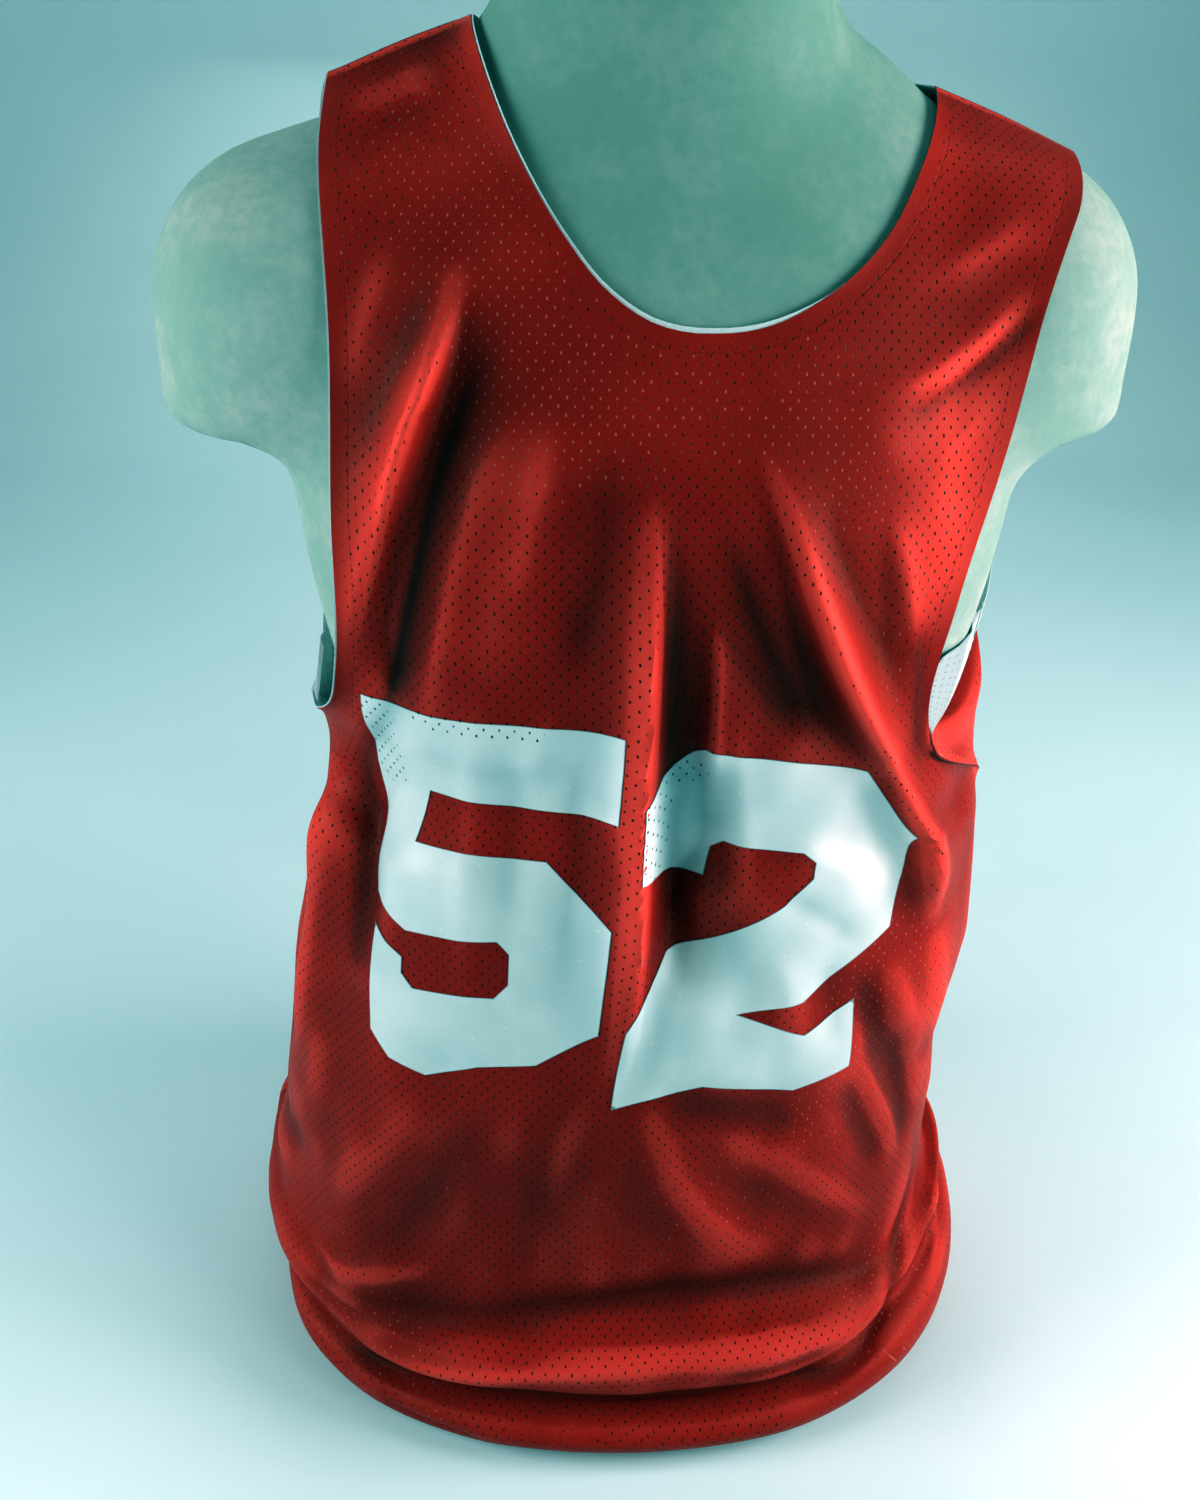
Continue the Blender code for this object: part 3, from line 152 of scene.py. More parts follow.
SPLIT = {"front_left": 0.47, "front_right": 0.47, "back_left": 0.40, "back_right": 0.37}

# level, left, right, front, back, squareness, tilt, upper roll, lower roll
SECTIONS = [
    (43.6, 18.5, 20.0, 14.1, 13.8, 2.30, 1.2, 0, 0),
    (40.4, 17.8, 20.2, 14.5, 14.0, 2.30, 0.7, 0, 0),
    (36.4, 18.5, 20.3, 14.9, 14.2, 2.30, 0.2, 0, 0),
    (31.5, 19.4, 21.0, 15.4, 14.5, 2.30, 0.0, 0, 0),
    (26.5, 20.4, 21.5, 16.0, 14.9, 2.30, 0.0, 0, 0),
    (22.5, 21.4, 20.3, 16.4, 15.2, 2.30, 0.0, 0, 0),
    (18.0, 22.2, 20.1, 16.9, 15.6, 2.32, 0.0, 0, 0),
    (13.5, 22.8, 20.2, 17.3, 16.0, 2.35, 0.0, 0, 0),
    (10.0, 23.2, 20.4, 17.8, 16.3, 2.40, 0.0, 0, 0),
    (8.2, 23.1, 20.4, 18.2, 16.6, 2.45, 0.0, 0.3, 0),
    (6.9, 23.0, 20.6, 18.6, 16.8, 2.50, 0.0, 0.85, 0),
    (5.4, 23.0, 20.9, 18.7, 16.9, 2.50, 0.0, 1.0, 0),
    (4.1, 23.0, 21.1, 18.7, 16.9, 2.50, 0.0, 0.55, 0),
    (3.6, 22.9, 21.3, 18.8, 16.9, 2.50, 0.0, 0.0, 0.25),
    (3.1, 22.9, 21.4, 18.9, 16.9, 2.50, 0.0, 0, 0.75),
    (2.0, 22.8, 21.5, 18.9, 16.9, 2.50, 0.0, 0, 1.0),
    (0.7, 22.6, 21.4, 18.9, 16.8, 2.50, 0.0, 0, 0.8),
    (0.0, 22.2, 21.0, 18.6, 16.5, 2.50, 0.0, 0, 0.45),
    (0.0, 19.4, 18.6, 16.0, 14.2, 2.40, 0.0, 0, 0),
]
# direction (degrees, 0 front, + right), upper roll out, lower roll out (cm), lift of the fold between
ROLLS = [
    (-180, 1.6, 2.2, 0.4), (-140, 1.2, 2.6, 0.9), (-105, 1.6, 1.6, 1.2), (-80, 1.4, 0.6, 0.6), (-55, 1.3, 1.9, 0.2),
    (-25, 1.7, 2.9, 0.0), (5, 2.1, 3.2, 0.0), (35, 1.7, 2.6, 0.6), (60, 0.7, 1.9, 2.6),
    (85, 0.9, 1.4, 3.4), (120, 1.8, 1.2, 1.5), (150, 1.9, 2.0, 0.6), (180, 1.6, 2.2, 0.4),
]
# level, directions (degrees) of the left side seam, the front's middle, the right side seam and the back's middle
SEAMS = [(-1.0, -97, -4, 100, 181), (12.0, -98, -6, 101, 181), (24.0, -98, -7, 101, 181), (32.0, -97, -8, 95, 180),
         (36.0, -96, -8, 86, 179), (39.0, -94, -7, 76, 178), (41.0, -94, -6, 65, 177), (42.6, -93, -5, 56.5, 175), (43.8, -93, -4, 53.7, 174),
         (45.5, -93, -4, 53.5, 174)]

def periodic_rows(rows, deg, column):
    r = np.array(rows, float)
    x = np.concatenate([r[:-1, 0] - 360, r[:, 0], r[1:, 0] + 360])
    y = np.concatenate([r[:-1, column], r[:, column], r[1:, column]])
    return smooth_rows(np.stack([x, y], 1), deg, 1)

def section_point(row, theta):
    """row: fractional row index into SECTIONS; theta in radians -> point (cm)."""
    rows = np.array(SECTIONS, float)
    idx = np.arange(len(rows))
    tab = np.column_stack([idx, rows])
    v = [smooth_rows(tab, row, k + 1) for k in range(9)]
    level, left, right, front, back, square, tilt, up, low = v
    deg = (np.degrees(theta) + 180) % 360 - 180
    r = oval_reach(theta, left, right, front, back, square)
    r = r + up*periodic_rows(ROLLS, deg, 1) + low*periodic_rows(ROLLS, deg, 2)
    lift = periodic_rows(ROLLS, deg, 3)
    near = np.exp(-((level - 4.6)/3.2)**2)*np.clip((level)/2.0, 0, 1)
    z = level + tilt*np.cos(theta - math.radians(54)) + lift*near
    z = np.maximum(z, 0.0)
    return np.stack(np.broadcast_arrays(r*np.sin(theta), -r*np.cos(theta), z), -1)

def line_through(rows, n, start=0.0, end=1.0):
    """n+1 points, evenly spaced along a smooth line through a table's rows, from start to end of its length."""
    p = np.array(rows, float)
    d = np.concatenate([[0], np.cumsum(np.linalg.norm(np.diff(p, axis=0), axis=1))])
    fine = np.linspace(0, d[-1], 600)
    q = np.stack([smooth_rows(np.column_stack([d, p[:, k]]), fine, 1) for k in range(p.shape[1])], 1)
    s = np.concatenate([[0], np.cumsum(np.linalg.norm(np.diff(q, axis=0), axis=1))])
    want = s[-1]*(start + (end - start)*np.linspace(0, 1, n + 1))
    return np.stack([np.interp(want, s, q[:, k]) for k in range(p.shape[1])], 1)

def coons(top, bottom, left, right):
    """A patch between four lines: top and bottom run left to right, left and right run down."""
    nu, nv = len(top) - 1, len(left) - 1
    u = np.linspace(0, 1, nu + 1)[None, :, None]
    v = np.linspace(0, 1, nv + 1)[:, None, None]
    a = (1 - v)*top[None] + v*bottom[None]
    b = (1 - u)*left[:, None] + u*right[:, None]
    c = ((1 - u)*(1 - v)*top[0] + u*(1 - v)*top[-1] + (1 - u)*v*bottom[0] + u*v*bottom[-1])
    return a + b - c

# flat pattern (cm): s across from the centre, t down from the top of the shoulder
FLAT = {
    "front": {"shoulder_out": (19.0, 2.2), "shoulder_in": (11.6, 0.0), "neck_low": 17.0, "arm_low": (29.0, 37.0),
              "arm": [(19.0,2.2),(18.2,9.0),(17.9,16.0),(18.6,22.0),(20.6,28.0),(24.0,33.2),(29.0,37.0)],
              "neck": [(11.6,0.0),(11.0,5.0),(9.4,10.0),(6.6,14.2),(3.2,16.5),(0.0,17.0)]},
    "back": {"shoulder_out": (19.0, 2.2), "shoulder_in": (11.6, 0.0), "neck_low": 6.5, "arm_low": (29.0, 37.0),
             "arm": [(19.0,2.2),(18.4,9.0),(18.2,16.0),(19.0,22.0),(21.0,28.0),(24.4,33.2),(29.0,37.0)],
             "neck": [(11.6,0.0),(10.6,2.6),(8.0,4.8),(4.2,6.1),(0.0,6.5)]},
}
LENGTH = 88.0



# Folds. face, lift (cm, minus for a trough), half width to its left and right (cm), length of its ends (share of
# the path), lean to the picture's right (cm), then places along it from the top down: across and up (cm).
# On a fold that runs across, its left side is below it.
FOLDS = [
    # from the left strap down past the left of the numerals
    ("front", -0.5, 1.1, 1.2, (0.4, 0.4), 0, (-10.6, 68.3), (-12.3, 64.8), (-13.9, 61.6), (-15.0, 59.0)),
    ("front", 2.7, 1.9, 0.75, (0.35, 0.4), 1.3, (-9.4, 69.3), (-10.7, 65.6), (-12.0, 62.2), (-13.1, 58.9), (-14.4, 54.9), (-15.3, 50.5), (-16.0, 46.5)),
    ("front", 1.1, 2.2, 1.2, (0.45, 0.4), 0.3, (-15.7, 50.5), (-16.5, 44.0), (-17.4, 37.0), (-18.4, 29.0)),
    ("front", -3.0, 0.7, 1.1, (0.15, 0.3), 0, (-8.0, 66.9), (-9.3, 63.9), (-10.8, 59.9), (-12.0, 55.5), (-13.2, 50.3), (-14.0, 46.4)),
    ("front", -1.3, 0.9, 1.1, (0.35, 0.3), 0, (-13.5, 49.0), (-14.8, 44.0), (-15.6, 38.5), (-16.1, 33.9), (-16.7, 28.0)),
    ("front", 0.6, 1.0, 2.6, (0.3, 0.4), -0.2, (-6.9, 65.0), (-7.7, 62.5), (-9.0, 59.0), (-10.3, 54.5), (-11.2, 49.0), (-11.9, 43.5)),
    ("front", 0.5, 0.9, 1.1, (0.4, 0.5), 0, (-12.8, 69.6), (-14.2, 66.0), (-15.0, 61.5)),
    ("front", 0.3, 0.6, 0.5, (0.3, 0.3), 0, (-13.6, 60.0), (-15.2, 57.0), (-16.4, 54.6)),
    ("front", 0.4, 0.7, 0.6, (0.3, 0.3), 0, (-15.6, 74.2), (-12.6, 74.9), (-10.2, 76.0)),
    ("front", -0.4, 0.6, 0.7, (0.3, 0.3), 0, (-15.7, 72.6), (-12.5, 73.6), (-10.8, 74.8)),
    ("front", 0.3, 0.9, 0.8, (0.35, 0.35), 0, (-5.4, 62.8), (-6.4, 58.0), (-7.6, 52.0)),
    ("front", -0.4, 1.0, 1.0, (0.4, 0.4), 0, (-3.4, 60.5), (-3.9, 54.0), (-4.6, 48.5)),
    # soft waves in the numerals
    ("front", 0.26, 0.9, 1.3, (0.3, 0.4), 0, (-8.9, 50.0), (-9.6, 43.0), (-10.2, 36.3), (-11.0, 29.0)),
    ("front", -0.23, 1.0, 0.9, (0.4, 0.4), 0, (-7.2, 47.0), (-7.6, 39.0), (-8.4, 31.0)),
    ("front", 0.23, 0.9, 0.7, (0.4, 0.4), 0, (-5.4, 49.0), (-6.0, 45.5), (-7.4, 42.4)),
    ("front", -0.33, 0.9, 1.0, (0.35, 0.4), 0, (-3.0, 48.5), (-3.8, 43.0), (-4.4, 36.5), (-5.2, 30.0)),
    ("front", 0.33, 0.8, 1.0, (0.35, 0.35), 0, (3.9, 50.0), (4.0, 45.5), (4.4, 40.5), (5.0, 36.0)),
    ("front", 0.36, 0.8, 1.9, (0.35, 0.35), 0, (5.6, 40.6), (9.0, 38.7), (13.2, 35.6)),
    ("front", -0.33, 1.0, 0.9, (0.4, 0.35), 0, (5.4, 37.6), (8.6, 35.6), (12.4, 32.4)),
    ("front", 0.39, 0.9, 1.3, (0.3, 0.4), 0, (6.6, 34.0), (7.6, 30.6), (8.0, 25.6)),
    ("front", -0.29, 0.9, 0.8, (0.35, 0.35), 0, (9.6, 33.0), (10.4, 29.4), (10.8, 25.0)),
    # the middle: ridge and trough between the numerals
    ("front", 2.0, 1.6, 0.7, (0.3, 0.3), 0.5, (-0.8, 60.5), (-0.7, 55.6), (-0.9, 48.3), (-1.0, 42.0), (-1.2, 36.0), (-1.6, 27.8), (-2.0, 23.5)),
    ("front", -2.4, 0.7, 1.4, (0.3, 0.3), 0, (0.1, 58.5), (0.35, 54.0), (0.5, 47.7), (0.8, 40.3), (1.0, 34.9), (1.2, 30.0)),
    ("front", 0.8, 0.9, 0.8, (0.35, 0.35), 0, (1.8, 57.0), (2.4, 52.0), (2.6, 47.5), (2.6, 43.0), (2.8, 36.0)),
    ("front", -1.7, 0.9, 1.8, (0.35, 0.4), 0, (1.0, 46.0), (1.6, 42.6), (2.1, 39.4), (2.2, 36.4)),
    # from the chest to the right side
    ("front", -1.6, 1.0, 1.0, (0.35, 0.3), 0, (1.9, 58.6), (2.6, 56.3), (3.8, 53.0), (6.0, 49.1), (7.6, 45.3)),
    ("front", 0.6, 0.9, 0.8, (0.4, 0.4), 0, (2.9, 57.5), (4.4, 53.0), (6.6, 48.2), (8.0, 44.0)),
    ("front", 2.6, 0.75, 1.35, (0.45, 0.2), -0.6, (4.0, 62.2), (4.8, 59.8), (6.0, 57.2), (7.4, 53.7), (9.7, 48.4), (11.9, 44.5), (14.1, 39.4), (15.6, 35.0), (16.3, 31.5)),
    ("front", -0.9, 0.9, 0.8, (0.3, 0.3), 0, (3.5, 60.3), (4.3, 57.6), (5.8, 53.3), (8.0, 48.4), (10.6, 43.8)),
    ("front", -0.7, 1.1, 1.2, (0.35, 0.4), 0, (7.8, 59.8), (9.3, 55.0), (11.3, 50.2), (12.8, 45.8)),
    ("front", 0.9, 0.9, 1.1, (0.35, 0.3), 0, (10.6, 58.6), (11.9, 54.8), (13.0, 50.5), (13.8, 46.0), (14.8, 42.0)),
    ("front", -0.5, 0.5, 0.5, (0.3, 0.3), 0, (12.9, 52.9), (13.5, 49.2), (13.9, 45.6), (14.9, 41.5)),
    ("front", -0.45, 0.35, 0.55, (0.25, 0.35), 0, (18.6, 66.8), (17.8, 65.9), (15.2, 63.8), (12.4, 62.2), (10.8, 61.6)),
    ("front", 0.55, 0.8, 0.9, (0.35, 0.4), 0, (18.0, 67.6), (15.4, 65.1), (12.4, 63.4), (9.5, 62.6)),
    ("front", 0.3, 0.8, 0.9, (0.4, 0.4), 0, (16.5, 62.5), (14.2, 60.2), (12.6, 58.9)),
    ("front", -0.22, 0.5, 0.6, (0.3, 0.4), 0, (14.7, 70.7), (12.3, 69.6), (10.5, 68.9)),
    ("front", 0.25, 0.8, 0.8, (0.4, 0.4), 0, (18.5, 70.4), (15.0, 68.6), (12.0, 67.4)),
    # soft bulges on the right of the chest
    ("front", 0.3, 1.6, 1.4, (0.5, 0.5), 0, (8.6, 64.3), (10.8, 60.8), (12.0, 57.5)),
    ("front", 0.3, 1.0, 1.0, (0.5, 0.5), 0, (15.8, 57.5), (14.0, 55.6), (12.6, 54.6)),
    # round the lower right of the numerals
    ("front", -0.6, 0.6, 0.6, (0.3, 0.3), 0, (11.8, 31.6), (13.0, 27.4), (14.4, 23.0), (15.8, 19.0)),
    ("front", 0.55, 0.7, 0.8, (0.3, 0.3), 0, (13.5, 32.0), (14.6, 27.4), (15.9, 22.4), (17.0, 17.5)),
    ("front", -0.4, 0.5, 0.5, (0.3, 0.3), 0, (11.2, 24.0), (13.0, 19.6), (15.0, 15.2)),
    ("front", 0.4, 0.6, 0.6, (0.3, 0.3), 0, (12.1, 25.0), (14.2, 20.4), (16.4, 15.2)),
    ("front", 0.4, 1.0, 1.0, (0.3, 0.3), 0, (16.4, 33.0), (17.5, 26.0), (18.4, 18.0), (19.0, 12.5)),
    ("front", -0.6, 0.6, 0.7, (0.25, 0.25), 0, (14.4, 28.0), (15.6, 21.5), (16.6, 15.0)),
    # below the numerals
    ("front", -0.48, 1.3, 1.0, (0.3, 0.3), 0, (0.0, 24.6), (3.5, 23.6), (6.9, 22.2), (10.0, 20.6)),
    ("front", 0.48, 1.6, 1.3, (0.25, 0.3), 0, (-0.4, 25.8), (0.4, 22.5), (1.6, 18.6), (4.4, 14.6), (9.0, 11.6)),
    ("front", -0.21, 1.3, 1.2, (0.3, 0.3), 0, (2.4, 21.6), (5.0, 18.3), (9.0, 15.2), (13.6, 11.6)),
    ("front", 0.27, 1.2, 1.3, (0.3, 0.3), 0, (4.0, 21.8), (8.0, 18.6), (12.0, 14.9), (15.8, 10.8)),
    ("front", -0.18, 1.6, 1.3, (0.3, 0.3), 0, (-4.8, 25.5), (-6.0, 20.0), (-7.4, 13.6), (-8.2, 9.6)),
    ("front", 0.18, 1.0, 1.6, (0.3, 0.3), 0, (-3.0, 26.0), (-4.8, 21.0), (-6.2, 14.0), (-6.8, 9.6)),
    ("front", -0.36, 1.7, 1.9, (0.3, 0.3), 0, (-9.4, 23.4), (-11.6, 18.0), (-14.6, 13.2), (-17.6, 9.2)),
    ("front", 0.3, 1.6, 1.4, (0.3, 0.3), 0, (-12.6, 24.4), (-14.6, 19.6), (-17.4, 15.4), (-20.4, 11.0)),
    ("front", -0.18, 0.9, 0.9, (0.3, 0.3), 0, (-17.4, 24.0), (-18.4, 19.6), (-20.4, 15.2)),
    ("front", 0.24, 0.9, 0.9, (0.3, 0.3), 0, (-18.6, 25.0), (-19.8, 20.0), (-21.6, 15.0)),
    # the rolls: the valley over the upper one, its rounded top, and the crease under it
    ("front", -0.6, 0.7, 1.3, (0.12, 0.14), 0, (-22.4, 7.6), (-20.8, 6.4), (-19.1, 6.4), (-15.9, 7.2), (-12.8, 7.7), (-10.0, 8.0), (-3.4, 9.4), (1.9, 9.9), (6.6, 10.0), (11.1, 9.4), (15.7, 8.7), (17.6, 9.2)),
    ("front", 0.7, 0.9, 0.7, (0.2, 0.25), 0, (-20.0, 4.7), (-16.0, 5.0), (-10.0, 5.9), (-3.0, 7.0), (4.0, 7.4), (10.0, 7.2), (14.4, 6.8)),
    ("front", 0.8, 0.8, 0.9, (0.3, 0.5), 0, (-20.6, 9.4), (-18.8, 8.4), (-15.2, 9.6), (-11.5, 11.4)),
    ("front", -0.45, 0.4, 0.4, (0.1, 0.1), 0, (-19.6, 3.2), (-14.1, 3.5), (-7.8, 3.5), (2.0, 3.6), (8.8, 3.7), (13.6, 3.9), (15.9, 5.4), (16.6, 8.4), (17.6, 10.6), (18.4, 13.4)),
    ("front", -0.4, 0.5, 0.5, (0.3, 0.3), 0, (3.6, 5.5), (8.0, 6.0), (12.4, 6.2)),
    ("front", 0.4, 0.7, 0.7, (0.3, 0.3), 0, (19.2, 4.3), (20.3, 6.0), (20.1, 9.0), (19.6, 12.0)),
    ("front", -0.3, 0.5, 0.5, (0.3, 0.3), 0, (-17.0, 2.2), (-13.0, 1.6), (-9.0, 1.5)),
    # the back
    ("back", 0.9, 2.03, 2.56, (0.2, 0.3), 0.2, (-8.0, 66.0), (-8.8, 54.0), (-10.2, 40.0), (-11.5, 24.0)),
    ("back", -0.72, 1.76, 2.16, (0.25, 0.3), 0, (-5.6, 63.0), (-5.4, 50.0), (-6.2, 36.0), (-7.0, 20.0)),
    ("back", 0.3, 1.49, 1.35, (0.4, 0.3), 0, (-3.2, 58.0), (-3.4, 46.0), (-4.0, 34.0)),
    ("back", 0.84, 2.56, 1.76, (0.2, 0.35), -0.2, (1.4, 64.0), (1.0, 50.0), (0.2, 36.0), (-0.8, 20.0)),
    ("back", -0.66, 1.62, 2.16, (0.25, 0.3), 0, (4.6, 60.0), (5.2, 46.0), (6.6, 30.0)),
    ("back", 0.36, 1.35, 1.49, (0.3, 0.4), 0, (7.2, 52.0), (8.0, 42.0), (9.6, 30.0)),
    ("back", 0.96, 1.89, 2.56, (0.2, 0.3), -0.2, (10.6, 66.0), (11.8, 54.0), (13.2, 42.0), (14.2, 26.0)),
    ("back", -0.54, 1.62, 1.62, (0.3, 0.3), 0, (14.6, 56.0), (15.2, 46.0), (16.8, 34.0)),
    ("back", -0.42, 1.62, 1.89, (0.3, 0.3), 0, (-12.6, 58.0), (-13.2, 47.0), (-15.0, 34.0)),
    ("back", 0.36, 1.62, 1.89, (0.3, 0.3), 0, (-15.4, 54.0), (-16.0, 45.0), (-17.4, 36.0)),
    ("back", 0.18, 1.08, 1.08, (0.4, 0.4), 0, (-15.8, 70.0), (-12.0, 68.4), (-8.5, 68.6)),
    ("back", -0.18, 0.81, 0.94, (0.4, 0.4), 0, (19.0, 68.0), (15.4, 66.4), (11.5, 66.8)),
    ("back", 0.54, 1.76, 1.62, (0.3, 0.3), 0, (-3.6, 23.0), (0.6, 17.5), (5.6, 13.2), (10.8, 10.5)),
    ("back", -0.48, 1.62, 1.76, (0.3, 0.3), 0, (-7.0, 22.0), (-3.4, 16.0), (2.0, 11.6)),
    ("back", 0.48, 1.76, 1.76, (0.3, 0.3), 0, (16.6, 24.0), (13.6, 18.0), (9.6, 12.6)),
    ("back", -0.48, 1.62, 1.62, (0.3, 0.3), 0, (-13.0, 22.0), (-16.0, 16.0), (-19.0, 10.5)),
    ("back", 0.42, 1.35, 1.62, (0.3, 0.3), 0, (-10.4, 21.0), (-13.4, 15.6), (-16.4, 10.6)),
    # the sides
    ("left", 0.96, 1.49, 1.72, (0.3, 0.3), 0, (-5.0, 41.0), (-5.8, 30.0), (-6.4, 18.0)),
    ("left", -0.96, 1.26, 1.49, (0.3, 0.3), 0, (-1.8, 40.0), (-1.6, 29.0), (-2.6, 17.0)),
    ("left", 0.48, 1.15, 1.15, (0.4, 0.3), 0, (0.8, 39.0), (1.2, 30.0), (0.6, 20.0)),
    ("left", 0.88, 1.61, 1.84, (0.3, 0.3), 0, (5.0, 41.0), (5.6, 28.0), (5.0, 15.0)),
    ("left", -0.64, 1.26, 1.38, (0.3, 0.3), 0, (8.2, 40.0), (9.0, 28.0), (8.8, 16.0)),
    ("left", -0.56, 1.03, 1.03, (0.3, 0.3), 0, (-9.5, 15.0), (-4.5, 12.4), (1.0, 12.0)),
    ("left", 0.48, 1.03, 1.03, (0.3, 0.3), 0, (-7.0, 12.0), (-2.0, 10.0), (4.0, 11.0)),
    ("right", 0.12, 1.49, 1.72, (0.3, 0.3), 0, (-4.6, 42.0), (-3.8, 35.0), (-3.0, 27.0)),
    ("right", -0.72, 1.15, 1.38, (0.3, 0.3), 0, (-1.4, 42.0), (-0.6, 34.0), (0.0, 26.5)),
    ("right", 0.24, 1.49, 1.84, (0.3, 0.3), 0, (3.8, 42.0), (4.6, 31.0), (4.0, 18.0)),
    ("right", -0.64, 1.38, 1.38, (0.3, 0.3), 0, (7.4, 42.0), (8.2, 30.0), (8.0, 17.0)),
    ("right", -0.56, 1.03, 1.03, (0.3, 0.3), 0, (-8.0, 25.5), (-3.0, 23.0), (2.5, 22.4)),
    ("right", 0.48, 1.15, 1.15, (0.3, 0.3), 0, (-6.5, 22.0), (-1.0, 19.5), (5.0, 19.0)),
]

